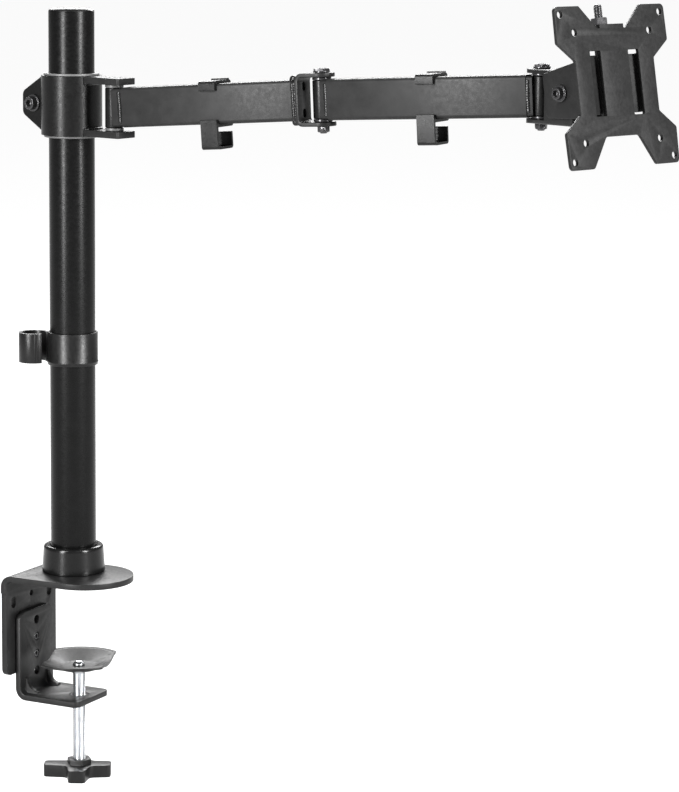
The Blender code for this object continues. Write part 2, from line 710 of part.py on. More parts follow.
def arm_cable_clip(name, at, frame):
    """Snap-on clip: a C round the tube, with a J-shaped cable hook below, open at the back."""
    in_y, in_z = TUBE_WIDTH / 2 + GAP, TUBE_HEIGHT / 2 + GAP
    out_y, out_z = in_y + CLIP_WALL, in_z + CLIP_WALL
    floor = -out_z - CLIP_DROP
    lip_top, lip_low = in_z - 5.3, -in_z + 3.8
    outline = [
        (-in_y, lip_top, 0),
        (-in_y, in_z, 2.6),
        (in_y, in_z, 2.6),
        (in_y, -in_z, 2.6),
        (-in_y, -in_z, 2.6),
        (-in_y, lip_low, 0),
        (-out_y, lip_low, 0),
        (-out_y, floor, 2.5),
        (out_y - 2, floor, 2.5),
        (out_y - 2, floor + 12.5, 0),
        (out_y - 2 - CLIP_WALL, floor + 12.5, 0),
        (out_y - 2 - CLIP_WALL, floor + CLIP_WALL, 0.8),
        (-in_y, floor + CLIP_WALL, 0.8),
        (-in_y, -out_z, 0),
        (out_y, -out_z, 2.5),
        (out_y, out_z, 2.5),
        (-out_y, out_z, 2.5),
        (-out_y, lip_top, 0),
    ]
    half = CLIP_LENGTH / 2
    piece(name, prism_mesh([rounded(outline, 3)], at - half, at + half, FACING), MOULDED, frame)


# ---------------------------------------------------------------- head


def wrist_yoke(frame):
    """Folded box bracket: two round-ended lugs on the wrist bolt and two side plates for the tilt bolt."""
    high = WRIST_HALF_HEIGHT
    sheet = YOKE_SHEET
    half = YOKE_SIDE
    section = [
        rounded([(-half, -high, 3.5), (half, -high, 3.5), (half, high, 3.5), (-half, high, 3.5)]),
        rounded([(s * (half - sheet), z * (high - sheet), 0.8) for s, z in ((-1, -1), (1, -1), (1, 1), (-1, 1))]),
    ]
    obj = piece("wrist_yoke", prism_mesh(section, -20, YOKE_FRONT, FACING), COATED, frame)
    lug = [(YOKE_FRONT + 10, -half - 3), (YOKE_FRONT + 10, half + 3), (14, half + 3)]
    lug += arc(0, 0, 10.5, 90, 270, 14) + [(14, -half - 3)]
    boolean(obj, "INTERSECT", prism_mesh([lug], -40, 40), frame)
    inner = high - sheet
    boolean(obj, "DIFFERENCE", box_mesh((-25, -half - 5, -inner), (14.0, half + 5, inner)), frame)
    web = half - sheet
    boolean(obj, "DIFFERENCE", box_mesh((FLANGE_END, -web, -high - 5), (YOKE_FRONT + 5, web, high + 5)), frame)
    bolt_hole = cylinders_mesh([(0, 0, PIN_RADIUS + GAP, -30, 30, None)])
    boolean(obj, "DIFFERENCE", bolt_hole, frame)
    tilt_hole = cylinders_mesh([(TILT_X, TILT_Z, PIN_RADIUS + GAP, -30, 30, None)], UPRIGHT)
    boolean(obj, "DIFFERENCE", tilt_hole, frame)


def tilt_bracket(frame):
    """U-bracket: two flared side ears on the tilt bolt, joined by a front plate with the rotation bolt."""
    front, sheet = BRACKET_FRONT, BRACKET_SHEET
    plan = [
        (-40, -EAR_OUT, 0),
        (front, -EAR_OUT, 4),
        (front, EAR_OUT, 4),
        (-40, EAR_OUT, 0),
        (-40, EAR_OUT - sheet, 0),
        (front - sheet, EAR_OUT - sheet, 1),
        (front - sheet, -EAR_OUT + sheet, 1),
        (-40, -EAR_OUT + sheet, 0),
    ]
    obj = piece("tilt_bracket", prism_mesh([rounded(plan)], -30, 30), COATED, frame)
    flare = [(front + 6, -22.3, 0), (front + 6, 22.3, 0)]
    flare += [(-EAR_REAR, EAR_REAR_HALF, 3), (-EAR_REAR, -EAR_REAR_HALF, 3)]
    boolean(obj, "INTERSECT", prism_mesh([rounded(flare)], -30, 30, UPRIGHT), frame)
    tilt_hole = cylinders_mesh([(0, 0, PIN_RADIUS + GAP, -30, 30, None)], UPRIGHT)
    boolean(obj, "DIFFERENCE", tilt_hole, frame)
    bolt_hole = cylinders_mesh([(0, 0, 4.3, front - 8, front + 5, None)], FACING)
    boolean(obj, "DIFFERENCE", bolt_hole, frame)


def tilt_hardware(frame):
    """Tilt bolt with a socket end towards the front, its nut, and the friction washers inside the ears."""
    face = EAR_OUT + GAP
    bolt = [
        (0, face + 2.0),
        (2.3, face + 2.0),
        (2.3, face + 5.0),
        (4.0, face + 5.0),
        (4.4, face + 4.4),
        (4.4, face + 1.4),
        (6.0, face + 1.2),
        (6.0, face),
        (PIN_RADIUS, face),
        (PIN_RADIUS, -face - 6.6),
        (0, -face - 6.6),
    ]
    turned("tilt_bolt", bolt, OXIDE, frame, along((0, -1, 0)), steps=24)
    nut = [polygon(0, 0, 13.0), circle(0, 0, PIN_RADIUS + GAP)]
    piece("tilt_nut", prism_mesh(nut, -face - 6.0, -face, UPRIGHT), OXIDE, frame)


def adapter(frame):
    """Rotating plate between the tilt bracket and the VESA plate, with a back-turned locking tab."""
    front, sheet = ADAPTER_FRONT, PLATE_SHEET
    top = TAB_TOP - PLATE_SHEET - GAP
    side = [
        (front, -24, 0),
        (front, top, 3),
        (TAB_BACK + 1.5, top, 0),
        (TAB_BACK + 1.5, top - sheet, 0),
        (front - sheet, top - sheet, 0.8),
        (front - sheet, -24, 0),
    ]
    half = ADAPTER_HALF
    obj = piece("rotation_adapter_plate", prism_mesh([rounded(side)], -half, half, UPRIGHT), COATED, frame)
    lower_corner = [(-60, -60), (60, -60), (60, TAB_TOP - 12), (TAB_HALF, TAB_TOP - 9), (TAB_HALF, 60)]
    lower_corner += [(-TAB_HALF, 60), (-TAB_HALF, TAB_TOP - 9), (-60, TAB_TOP - 12)]
    boolean(obj, "INTERSECT", prism_mesh([lower_corner], -10, 60, FACING), frame)
    sink = cylinders_mesh([(0, 0, 4.1, front - 6, front + 2, None)], FACING)
    boolean(obj, "DIFFERENCE", sink, frame)
    cone = cylinders_mesh([(0, 0, 3.9, front - sheet + 0.3, front + 0.7, 7.4)], FACING)
    boolean(obj, "DIFFERENCE", cone, frame)
    hole = cylinders_mesh([(LOCK_DEPTH, 0, 3.3, top - 8, top + 4, None)])
    boolean(obj, "DIFFERENCE", hole, frame)


def rotation_hardware(frame):
    front = ADAPTER_FRONT
    behind = BRACKET_FRONT - BRACKET_SHEET - GAP
    bolt = [
        (0, front - 0.2),
        (5.3, front - 0.2),
        (5.3, front - 0.8),
        (3.8, front - 2.2),
        (3.8, behind - 5.6),
        (0, behind - 5.6),
    ]
    turned("rotation_bolt", bolt, OXIDE, frame, along((1, 0, 0)), steps=24)
    low, high = BRACKET_FRONT + GAP, front - PLATE_SHEET - GAP
    washer("rotation_washer", 3.8 + GAP, 9.6, low, high, NYLON, frame, along((1, 0, 0)))
    nut = [polygon(0, 0, 13.0), circle(0, 0, 3.8 + GAP)]
    piece("rotation_nut", prism_mesh(nut, behind - 5.0, behind, FACING), OXIDE, frame)


def vesa_outline():
    """Right half from the tab's notch down to the lower edge, then the left half mirrored."""
    half = [
        (TAB_HALF, TAB_TOP, 0),
        (TAB_HALF, TAB_TOP - 2.8, 0),
        (TAB_HALF + 3.0, TAB_TOP - 2.8, 0),
        (31.0, 55.4, 1.5),
        (54.6, 55.4, 3.5),
        (55.2, 30.4, 2),
        (39.4, 18.5, 2),
        (39.4, -18.5, 2),
        (55.2, -30.4, 2),
        (54.6, -55.4, 3.5),
        (31.6, -55.4, 3),
        (17.0, -34.2, 3),
    ]
    return half + [(-x, y, r) for x, y, r in reversed(half)]


def vesa_plate(frame):
    front, back = PLATE_FRONT, PLATE_FRONT - PLATE_SHEET
    outlines = [rounded(vesa_outline())]
    for reach in (VESA_OUTER, VESA_INNER):
        for y in (-reach, reach):
            for z in (-reach, reach):
                outlines.append(circle(y, z, HOLE_RADIUS, 16))
    for side in (-1, 1):
        window = [(13.8, -20.2), (24.5, -20.2), (24.5, 24.6), (13.8, 24.6)]
        outlines.append(rounded([(side * y, z, 0.8) for y, z in window], 2))
    obj = piece("vesa_plate", prism_mesh(outlines, back, front, FACING), COATED, frame)
    lip = back - 3.1
    rail = [
        (back + 1.2, 24.5 + 0.05),
        (back + 1.2, RAIL_OUT),
        (lip - RAIL_SHEET, RAIL_OUT),
        (lip - RAIL_SHEET, RAIL_IN),
        (lip, RAIL_IN),
        (lip, RAIL_OUT - RAIL_SHEET),
        (back - 0.2, RAIL_OUT - RAIL_SHEET),
        (back - 0.2, 24.5 + 0.05),
    ]
    for side in (-1, 1):
        outline = [(x, side * y) for x, y in rail]
        boolean(obj, "UNION", prism_mesh([outline], RAIL_BOTTOM, RAIL_TOP), frame)
    tab = [
        (front - 1.0, TAB_TOP - 6, 0),
        (front - 1.0, TAB_TOP - 0.05, 2.4),
        (TAB_BACK, TAB_TOP - 0.05, 0),
        (TAB_BACK, TAB_TOP - PLATE_SHEET, 0),
        (back + 0.1, TAB_TOP - PLATE_SHEET, 0.4),
        (back + 0.1, TAB_TOP - 6, 0),
    ]
    half = TAB_HALF - 0.05
    boolean(obj, "UNION", prism_mesh([rounded(tab)], -half, half, UPRIGHT), frame)
    hole = cylinders_mesh([(LOCK_DEPTH, 0, 3.3, TAB_TOP - 6, TAB_TOP + 4, None)])
    boolean(obj, "DIFFERENCE", hole, frame)


def lock_hardware(frame):
    under = TAB_TOP - 2 * PLATE_SHEET - GAP - GAP
    bolt = [
        (0, TAB_TOP + 15.0),
        (2.2, TAB_TOP + 14.4),
        (3.0, TAB_TOP + 13.2),
        (3.0, under),
        (5.0, under),
        (5.0, under - 3.0),
        (0, under - 3.0),
    ]
    matrix = Matrix.Translation((LOCK_DEPTH * MM, 0, 0))
    turned("plate_lock_bolt", bolt, OXIDE, frame, matrix, steps=20)
    nut = [polygon(LOCK_DEPTH, 0, 10.0), circle(LOCK_DEPTH, 0, 3.0 + GAP, 16)]
    low = TAB_TOP + GAP
    piece("plate_lock_nut", prism_mesh(nut, low, low + 5.0), OXIDE, frame)


def main():
    upper_jaw()
    lower_jaw()
    jaw_bolts()
    clamp_nut()
    screw_frame = joint_frame("clamp_screw_axis", (SCREW_X, CLAMP_Y, 0))
    clamp_screw(screw_frame)
    clamp_pad(screw_frame)
    knob(screw_frame)
    pole()
    pole_cable_clip(joint_frame("pole_clip_slide", (0, 0, 0), turn=POLE_CLIP_TURN))

    slide = joint_frame("collar_slide", (0, 0, COLLAR_Z))
    swivel = joint_frame("collar_swivel", (0, 0, 0), slide, COLLAR_TURN)
    collar(slide, swivel)

    shoulder = joint_frame("shoulder_swivel", (SHOULDER_X, 0, 0), swivel, -COLLAR_TURN)
    barrel("arm1_shoulder_barrel", SHOULDER_BARREL_HALF, shoulder)
    rise_1 = atan2(ARM_1_RISE, ARM_1)
    tube_frame = joint_frame("arm1_tube_line", (0, 0, 0), shoulder, up=rise_1)
    weld = [(3.0, TUBE_START + 2)]
    tube_1 = tube("arm1_tube", TUBE_START, ARM_1 / cos(rise_1) + YOKE_WEB_X - 1.4, tube_frame, weld)
    scoop(tube_1, BARREL_RADIUS + GAP, shoulder)
    arm_cable_clip("arm1_cable_clip", CLIP_1_AT, tube_frame)

    elbow = joint_frame("elbow_swivel", (ARM_1, 0, ARM_1_RISE), shoulder, up=ELBOW_LEAN)
    elbow_yoke(elbow)
    hinge_hardware("elbow", YOKE_HALF_HEIGHT, elbow, 8.8)
    barrel("arm2_elbow_barrel", BARREL_HALF, elbow)
    rise_2 = atan2(ARM_2_RISE, ARM_2)
    tube_frame = joint_frame("arm2_tube_line", (0, 0, 0), elbow, up=rise_2 - ELBOW_LEAN)
    end = ARM_2 / cos(rise_2) - WRIST_START
    welds = [(3.0, ELBOW_START + 2), (end - 2, end + WRIST_START - 3.0)]
    tube_2 = tube("arm2_tube", ELBOW_START, end, tube_frame, welds)
    scoop(tube_2, BARREL_RADIUS + GAP, elbow)
    arm_cable_clip("arm2_cable_clip", CLIP_2_AT, tube_frame)

    reach = ARM_2 / cos(rise_2)
    wrist_at = (reach * cos(rise_2 - ELBOW_LEAN), 0, reach * sin(rise_2 - ELBOW_LEAN))
    wrist_line = joint_frame("wrist_line", wrist_at, elbow, up=-ELBOW_LEAN)
    scoop(tube_2, BARREL_RADIUS + GAP, wrist_line)
    barrel("arm2_wrist_barrel", BARREL_HALF, wrist_line)
    wrist = joint_frame("wrist_swivel", (0, 0, 0), wrist_line, WRIST_TURN)
    wrist_yoke(wrist)
    hinge_hardware("wrist", WRIST_HALF_HEIGHT, wrist, 8.0)

    tilt = joint_frame("head_tilt", (TILT_X, 0, TILT_Z), wrist, up=TILT_UP)
    tilt_bracket(tilt)
    tilt_hardware(tilt)
    adapter(tilt)
    rotation_hardware(tilt)
    vesa_plate(tilt)
    lock_hardware(tilt)


main()
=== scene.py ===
"""Looks for the desk-clamped monitor arm: finely rounded metalwork, weld beads, a cut M10 thread, moulded clips
and knob, and procedural powder coat, moulded plastic, black oxide, zinc and nylon. Shapes are made in millimetres
in the frame of their own joint, and each joint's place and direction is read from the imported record."""

import json
from math import asin, atan2, cos, hypot, pi, radians, sin, sqrt

import bmesh
import bpy
from mathutils import Matrix, Vector, noise


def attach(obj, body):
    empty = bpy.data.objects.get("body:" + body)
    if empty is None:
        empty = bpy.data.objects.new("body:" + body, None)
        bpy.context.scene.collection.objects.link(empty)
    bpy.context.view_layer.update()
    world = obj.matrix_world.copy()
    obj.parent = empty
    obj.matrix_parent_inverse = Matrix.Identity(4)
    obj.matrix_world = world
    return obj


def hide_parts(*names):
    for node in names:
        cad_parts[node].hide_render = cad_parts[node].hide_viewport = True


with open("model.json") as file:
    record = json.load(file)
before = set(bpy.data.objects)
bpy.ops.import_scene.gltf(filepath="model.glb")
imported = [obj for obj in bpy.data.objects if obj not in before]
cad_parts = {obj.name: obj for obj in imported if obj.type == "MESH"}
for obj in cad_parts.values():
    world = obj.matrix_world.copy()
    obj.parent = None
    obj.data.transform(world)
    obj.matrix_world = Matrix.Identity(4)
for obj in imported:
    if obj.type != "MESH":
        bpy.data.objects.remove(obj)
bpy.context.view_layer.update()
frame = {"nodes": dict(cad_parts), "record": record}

MM = 0.001
GAP = 0.3  # clearance between touching pieces

# Clamp
SHEET = 4.5
CLAMP_Y = -7.5
JAW_RADIUS = 36.0
JAW_CENTRE = 17.0
LEG_BACK = -39.0
LEG_HALF_WIDTH = 35.0
LEG_BOTTOM = -75.5
JAW_BEND = 9.0
LOWER_BACK = LEG_BACK + SHEET + GAP
LOWER_HALF_WIDTH = 23.5
LOWER_TOP = -27.5
LOWER_JAW_TOP = -91.7
LOWER_JAW_END = 22.5
LOWER_BEND = 9.0
GUSSET = 7.5
HOLE_HEIGHTS = [-36.7 - 13.6 * i for i in range(4)]
JAW_HOLE_RADIUS = 3.3
GUSSET_SPREAD = 15.0
SCREW_RADIUS = 5.0
THREAD_PITCH = 1.5
PAD_RIM = -62.5
PAD_RADIUS = 35.0
PAD_FLAT = 24.0
PAD_TURN = radians(19.6)
PAD_SEAT = PAD_RIM - 8.6
HUB_TOP = -143.0
LOBE_TOP = -147.0
LOBE_BOTTOM = -156.7
LOBE_LEFT = 27.5
LOBE_RIGHT = 24.8
LOBE_FRONT = 23.5
LOBE_HALF_WIDTH = 6.35
KNOB_TURN = radians(26.6)

# Pole
POLE_RADIUS = 17.5
POLE_WALL = 2.0
POLE_TOP = 439.0
CAP_RISE = 2.4
BASE_COLLAR_TOP = 25.6
FOOT_SCREW_RING = 9.5
POLE_CLIP_LOW = 167.3
POLE_CLIP_HIGH = 192.6
POLE_CLIP_RADIUS = 19.4
HOOK_CENTRE = 30.0
HOOK_RADIUS = 11.6
HOOK_WALL = 2.2
POLE_CLIP_TURN = radians(206.6)

# Collar
LINER_RADIUS = 19.6
LINER_FLANGE = 21.2
BAND_RADIUS = 23.3
BAND_HALF = 22.6
LUG_THICK = 5.0
LUG_HALF_WIDTH = 10.0
LUG_END = 12.5
EAR_GAP = 5.0
EAR_THICK = 3.2
EAR_REACH = 46.0
EAR_BOLT_X = -34.5

# Arms
TUBE_HALF_HEIGHT = 15.0
TUBE_HALF_WIDTH = 10.0
TUBE_WALL = 1.6
TUBE_CORNER = 3.0
SHOULDER_START = 12.5  # from a pin's axis to the tube's square end, with weld between them
ELBOW_START = 8.6
WRIST_START = 7.6
BARREL_RADIUS = 7.0
PIN_RADIUS = 4.0
THREAD_RADIUS = 2.6
BARREL_HALF = 14.0
SHOULDER_BARREL_HALF = 15.0
YOKE_SHEET = 3.0
YOKE_HALF_HEIGHT = 19.4
YOKE_WEB_X = -18.0
YOKE_HALF_WIDTH = 10.0
YOKE_ARC_X = -0.5
CLIP_LENGTH = 14.2
CLIP_WALL = 1.9
CLIP_DROP = 16.4
CLIP_1_AT = 88.4
CLIP_2_AT = 88.5

# Head
WRIST_HALF_HEIGHT = 19.1
TILT_X = 33.0
TILT_Z = 4.0
YOKE_SIDE = 12.0
YOKE_FRONT = 41.0
FLANGE_END = 27.0
EAR_OUT = 15.6
EAR_REAR = 15.6
EAR_REAR_HALF = 15.4
BRACKET_FRONT = 30.0
PLATE_FRONT = 39.5
PLATE_SHEET = 2.5
HOLE_RADIUS = 2.6
VESA_HOLES = (50.0, 37.5)
ADAPTER_FRONT = PLATE_FRONT - PLATE_SHEET - GAP
ADAPTER_HALF = 14.0
ROTATION_RADIUS = 3.8
WINDOW_IN = 13.8
WINDOW_OUT = 24.5
WINDOW_LOW = -20.2
WINDOW_HIGH = 24.6
RAIL_TOP = 22.0
RAIL_BOTTOM = -18.5
RAIL_OUT = 26.8
RAIL_IN = 11.6
RAIL_SHEET = 2.1
TAB_TOP = 42.6
TAB_BACK = 20.5
TAB_HALF = 11.8
LOCK_DEPTH = 28.5
LOCK_RADIUS = 3.0

# Camera and light, in metres and degrees: the camera's place and turn, what the lights face, and their watts
CAMERA_AT = (1.2457, -1.9391, 0.5355)
CAMERA_YAW, CAMERA_PITCH, CAMERA_ROLL = 27.601, 7.429, 0.418
CAMERA_LENS = 136.738
CAMERA_SHIFT = -0.15
LIT_POINT = (0.18, 0, 0.15)
LIGHTS = {
    "key_left": ((-0.45, -2.5, 1.1), 240, 0.45, 2.4),
    "key_right": ((2.6, -0.45, 1.3), 300, 0.5, 2.4),
    "rim_back": ((-1.1, 2.3, 1.7), 110, 2.4, 0.8),
}
FLOOR_HEIGHT = -0.2
FLOOR_RADIUS = 80

# Places and directions of the joints
JOINTS = {joint["name"]: joint for joint in frame["record"]["behaviour"]["joints"]}
BODIES = frame["record"]["behaviour"]["bodies"]
BODY_OF = {node: body for body, nodes in BODIES.items() for node in nodes}


def pos(joint):
    return Vector(JOINTS[joint]["pos_m"])


def axis(joint):
    return Vector(JOINTS[joint]["axis"])


def frame_at(place, turn=0.0, up=0.0):
    """A frame at a place in metres: turned about Z, then tipped up about its own Y."""
    return Matrix.Translation(place) @ Matrix.Rotation(turn, 4, "Z") @ Matrix.Rotation(-up, 4, "Y")


def rise(start, end):
    return atan2(end.z - start.z, end.x - start.x)


shoulder_at, elbow_at, wrist_at, tilt_at = (pos(name) for name in ("shoulder", "elbow", "wrist", "tilt"))
ROOT = Matrix.Identity(4)
SHOULDER_X = hypot(shoulder_at.x, shoulder_at.y) / MM
collar_turn = atan2(shoulder_at.y, shoulder_at.x)
elbow_lean = atan2(-axis("elbow").x, axis("elbow").z)
wrist_turn = atan2(axis("tilt").x, -axis("tilt").y)
tilt_up = asin(axis("plate_rotation").z)
SCREW = frame_at(Vector((pos("screw_turn").x, pos("screw_turn").y, 0)))
POLE_CLIP = frame_at((0, 0, 0), POLE_CLIP_TURN)
COLLAR = frame_at((0, 0, pos("collar_swivel").z), collar_turn)
LUGS = COLLAR @ Matrix.Translation((SHOULDER_X * MM, 0, 0))
SHOULDER = frame_at(shoulder_at)
TUBE_1 = frame_at(shoulder_at, up=rise(shoulder_at, elbow_at))
ELBOW = frame_at(elbow_at, up=elbow_lean)
TUBE_2 = frame_at(elbow_at, up=rise(elbow_at, wrist_at))
WRIST_LINE = frame_at(wrist_at)
WRIST = frame_at(wrist_at, wrist_turn)
TILT = frame_at(tilt_at, wrist_turn, tilt_up)
REACH_1 = (elbow_at - shoulder_at).length / MM
REACH_2 = (wrist_at - elbow_at).length / MM

UPRIGHT = Matrix.Rotation(pi / 2, 4, "X")  # outline x, y become x, z
FACING = Matrix(((0, 0, 1, 0), (1, 0, 0, 0), (0, 1, 0, 0), (0, 0, 0, 1)))  # outline x, y become y, z
SIDEWAYS = Matrix.Rotation(pi / 2, 4, "X")  # lathe axis points to -y
FORWARD = Matrix.Rotation(pi / 2, 4, "Y")  # lathe axis points to +x


# ---------------------------------------------------------------- materials


def node(tree, kind, **inputs):
    made = tree.nodes.new(kind)
    for name, value in inputs.items():
        made.inputs[name.replace("_", " ")].default_value = value
    return made


def ranged(tree, source, low, high, start=0.3, end=0.7):
    """The source's value, from start to end, mapped onto low to high."""
    made = node(tree, "ShaderNodeMapRange", From_Min=start, From_Max=end, To_Min=low, To_Max=high)
    tree.links.new(source, made.inputs["Value"])
    return made.outputs["Result"]


def look(name, tone, roughness, metallic=0.0, grain=2500.0, depth=0.00002, spread=0.25, tint=(1, 1, 1),
         scratches=0.0, specular=0.5):
    """Procedural finish: cloudy tone, uneven gloss, fine grain in relief and, on metal, fine turned lines."""
    made = bpy.data.materials.new(name)
    made.use_nodes = True
    tree = made.node_tree
    shader = tree.nodes["Principled BSDF"]
    shader.inputs["Metallic"].default_value = metallic
    shader.inputs["Specular IOR Level"].default_value = specular
    place = tree.nodes.new("ShaderNodeTexCoord").outputs["Object"]

    def clouds(scale, detail, rough=0.5):
        made_noise = node(tree, "ShaderNodeTexNoise", Scale=scale, Detail=detail, Roughness=rough)
        tree.links.new(place, made_noise.inputs["Vector"])
        return made_noise.outputs["Fac"]

    dark = tuple(tone * (1 - spread) * t for t in tint) + (1,)
    light = tuple(tone * (1 + spread) * t for t in tint) + (1,)
    mix = tree.nodes.new("ShaderNodeMix")
    mix.data_type = "RGBA"
    mix.inputs["A"].default_value = dark
    mix.inputs["B"].default_value = light
    tree.links.new(ranged(tree, clouds(95.0, 5.0, 0.6), 0, 1), mix.inputs["Factor"])
    tree.links.new(mix.outputs["Result"], shader.inputs["Base Color"])
    tree.links.new(
        ranged(tree, clouds(420.0, 4.0), roughness - 0.05, roughness + 0.07), shader.inputs["Roughness"]
    )
    fine = node(tree, "ShaderNodeBump", Strength=0.55, Distance=depth)
    tree.links.new(clouds(grain, 3.0), fine.inputs["Height"])
    last = fine
    if scratches:
        lines = node(tree, "ShaderNodeMapping")
        lines.inputs["Scale"].default_value = (260.0, 260.0, 9000.0)
        tree.links.new(place, lines.inputs["Vector"])
        turned_lines = node(tree, "ShaderNodeTexNoise", Scale=1.0, Detail=2.0)
        tree.links.new(lines.outputs["Vector"], turned_lines.inputs["Vector"])
        last = node(tree, "ShaderNodeBump", Strength=scratches, Distance=0.00001)
        tree.links.new(turned_lines.outputs["Fac"], last.inputs["Height"])
        tree.links.new(fine.outputs["Normal"], last.inputs["Normal"])
    tree.links.new(last.outputs["Normal"], shader.inputs["Normal"])
    return made


POLE_COAT = look("pole_gloss_powder_coat", 0.0016, 0.28, grain=1500.0, depth=0.00002, specular=0.1)
COAT = look("sheet_satin_powder_coat", 0.006, 0.4, grain=1900.0, depth=0.00004, specular=0.16)
TUBE_COAT = look("arm_satin_powder_coat", 0.0095, 0.42, grain=1900.0, depth=0.00004, specular=0.14)
BAND_COAT = look("collar_powder_coat", 0.002, 0.3, grain=1700.0, depth=0.00003, specular=0.14)
WELD_COAT = look("coated_weld", 0.003, 0.26, grain=900.0, depth=0.00008, specular=0.25)
MOULDED = look("grained_black_moulding", 0.0035, 0.32, grain=5200.0, depth=0.00003, spread=0.2, specular=0.18)
GLOSSY = look("polished_black_moulding", 0.002, 0.2, grain=700.0, depth=0.00001, spread=0.15, specular=0.2)
OXIDE = look("black_oxide", 0.035, 0.25, 0.7, 3200.0, 0.00002, 0.35, (1, 0.99, 1.02), scratches=0.35)
ZINC = look("bright_zinc", 0.7, 0.2, 1.0, 1400.0, 0.00001, 0.12, (0.98, 1.0, 1.03), scratches=0.3)
NYLON = look("dark_nylon", 0.05, 0.45, grain=2600.0, depth=0.00003, spread=0.2)


# ---------------------------------------------------------------- outlines and meshes, in millimetres


def arc(centre_x, centre_y, radius, start, end, steps):
    """Points along an arc, both ends included. Angles in degrees."""
    angles = [radians(start + (end - start) * i / steps) for i in range(steps + 1)]
    return [(centre_x + radius * cos(a), centre_y + radius * sin(a)) for a in angles]


def circle(centre_x, centre_y, radius, steps=48):
    return arc(centre_x, centre_y, radius, 0, 360, steps)[:-1]


def hexagon(centre_x, centre_y, across_flats, turn=0.0):
    return arc(centre_x, centre_y, across_flats / 2 / cos(pi / 6), turn, turn + 360, 6)[:-1]


def rounded(corners, steps=8):
    """An outline from corners (x, y, radius): each corner with a radius becomes an arc."""
    points = []
    for i, (x, y, radius) in enumerate(corners):
        here = Vector((x, y))
        if radius == 0:
            points.append((x, y))
            continue
        before = (Vector(corners[i - 1][:2]) - here).normalized()
        after = (Vector(corners[(i + 1) % len(corners)][:2]) - here).normalized()
        half = before.angle(after) / 2
        centre = here + (before + after).normalized() * radius / sin(half)
        first = here + before * radius * cos(half) / sin(half) - centre
        last = here + after * radius * cos(half) / sin(half) - centre
        sweep = first.angle_signed(last)
        for step in range(steps + 1):
            points.append(tuple(centre + Matrix.Rotation(-sweep * step / steps, 2) @ first))
    return points


def rectangle(x_low, y_low, x_high, y_high, radius=0.0):
    corners = ((x_low, y_low), (x_high, y_low), (x_high, y_high), (x_low, y_high))
    return rounded([(x, y, radius) for x, y in corners])


def as_mesh(bm, orient=None):
    bmesh.ops.recalc_face_normals(bm, faces=bm.faces)
    mesh = bpy.data.meshes.new("shape")
    bm.to_mesh(mesh)
    bm.free()
    if orient:
        mesh.transform(orient)
    return mesh


def prism(outline, low, high, orient=None):
    """An outline extruded from low to high, with whole caps."""
    bm = bmesh.new()
    rings = [[bm.verts.new((x, y, z)) for x, y in outline] for z in (low, high)]
    bm.faces.new(rings[0])
    bm.faces.new(rings[1])
    for i in range(len(outline)):
        bm.faces.new((rings[0][i - 1], rings[0][i], rings[1][i], rings[1][i - 1]))
    return as_mesh(bm, orient)


def lathe(profile, steps=96, orient=None, closed=False):
    """A profile of (radius, height) swept about Z. An open one starts and ends on the axis."""
    bm = bmesh.new()
    rings = []
    for radius, height in profile:
        if radius < 1e-6:
            rings.append([bm.verts.new((0, 0, height))] * steps)
        else:
            turns = [2 * pi * i / steps for i in range(steps)]
            rings.append([bm.verts.new((radius * cos(a), radius * sin(a), height)) for a in turns])
    pairs = list(zip(rings, rings[1:]))
    if closed:
        pairs.append((rings[-1], rings[0]))
    for upper, lower in pairs:
        for i in range(steps):
            corners = []
            for vert in (upper[i - 1], upper[i], lower[i], lower[i - 1]):
                if vert not in corners:
                    corners.append(vert)
            if len(corners) > 2:
                bm.faces.new(corners)
    return as_mesh(bm, orient)


def ring(inner, outer, low, high, edge, steps=96, orient=None):
    profile = [(inner, high, edge), (outer, high, edge), (outer, low, edge), (inner, low, edge)]
    return lathe(rounded(profile, 4), steps, orient, closed=True)


def rod(x, y, radius, low, high, orient=None, far=None, steps=48):
    """A plain cylinder or cone along Z, for cutting holes."""
    profile = [(0, high), (far or radius, high), (radius, low), (0, low)]
    mesh = lathe(profile, steps)
    mesh.transform(Matrix.Translation((x, y, 0)))
    if orient:
        mesh.transform(orient)
    return mesh


def merged(meshes):
    bm = bmesh.new()
    for mesh in meshes:
        bm.from_mesh(mesh)
    return as_mesh(bm)


def bead_mesh(path, radius, closed=False, seed=0.0, sides=12):
    """A weld bead along a path of points: overlapping ripples with a hand's unevenness."""
    points = []
    count = len(path) if closed else len(path) - 1
    for i in range(count):
        start, end = Vector(path[i]), Vector(path[(i + 1) % len(path)])
        steps = max(1, int((end - start).length / 0.45))
        points += [start.lerp(end, k / steps) for k in range(steps)]
    if not closed:
        points.append(Vector(path[-1]))
    bm = bmesh.new()
    rings = []
    for i, point in enumerate(points):
        before = points[i - 1] if i or closed else point
        after = points[(i + 1) % len(points)] if i + 1 < len(points) or closed else point
        along = (after - before).normalized()
        side = along.orthogonal() if abs(along.x) > 0.99 else along.cross(Vector((1, 0, 0))).normalized()
        up = along.cross(side)
        ripple = 1 + 0.09 * abs(sin(i * 0.45 / 1.7 * pi)) + 0.1 * noise.noise(point * 0.35 + Vector((seed, 0, 0)))
        ends = 1.0 if closed else min(1.0, 0.45 + 0.25 * min(i, len(points) - 1 - i))
        size = radius * ripple * ends
        turns = [2 * pi * k / sides for k in range(sides)]
        rings.append([bm.verts.new(point + (side * cos(a) + up * sin(a)) * size) for a in turns])
    loops = list(zip(rings, rings[1:]))
    if closed:
        loops.append((rings[-1], rings[0]))
    for first, second in loops:
        for k in range(sides):
            bm.faces.new((first[k - 1], first[k], second[k], second[k - 1]))
    if not closed:
        bm.faces.new(rings[0])
        bm.faces.new(rings[-1])
    return as_mesh(bm)


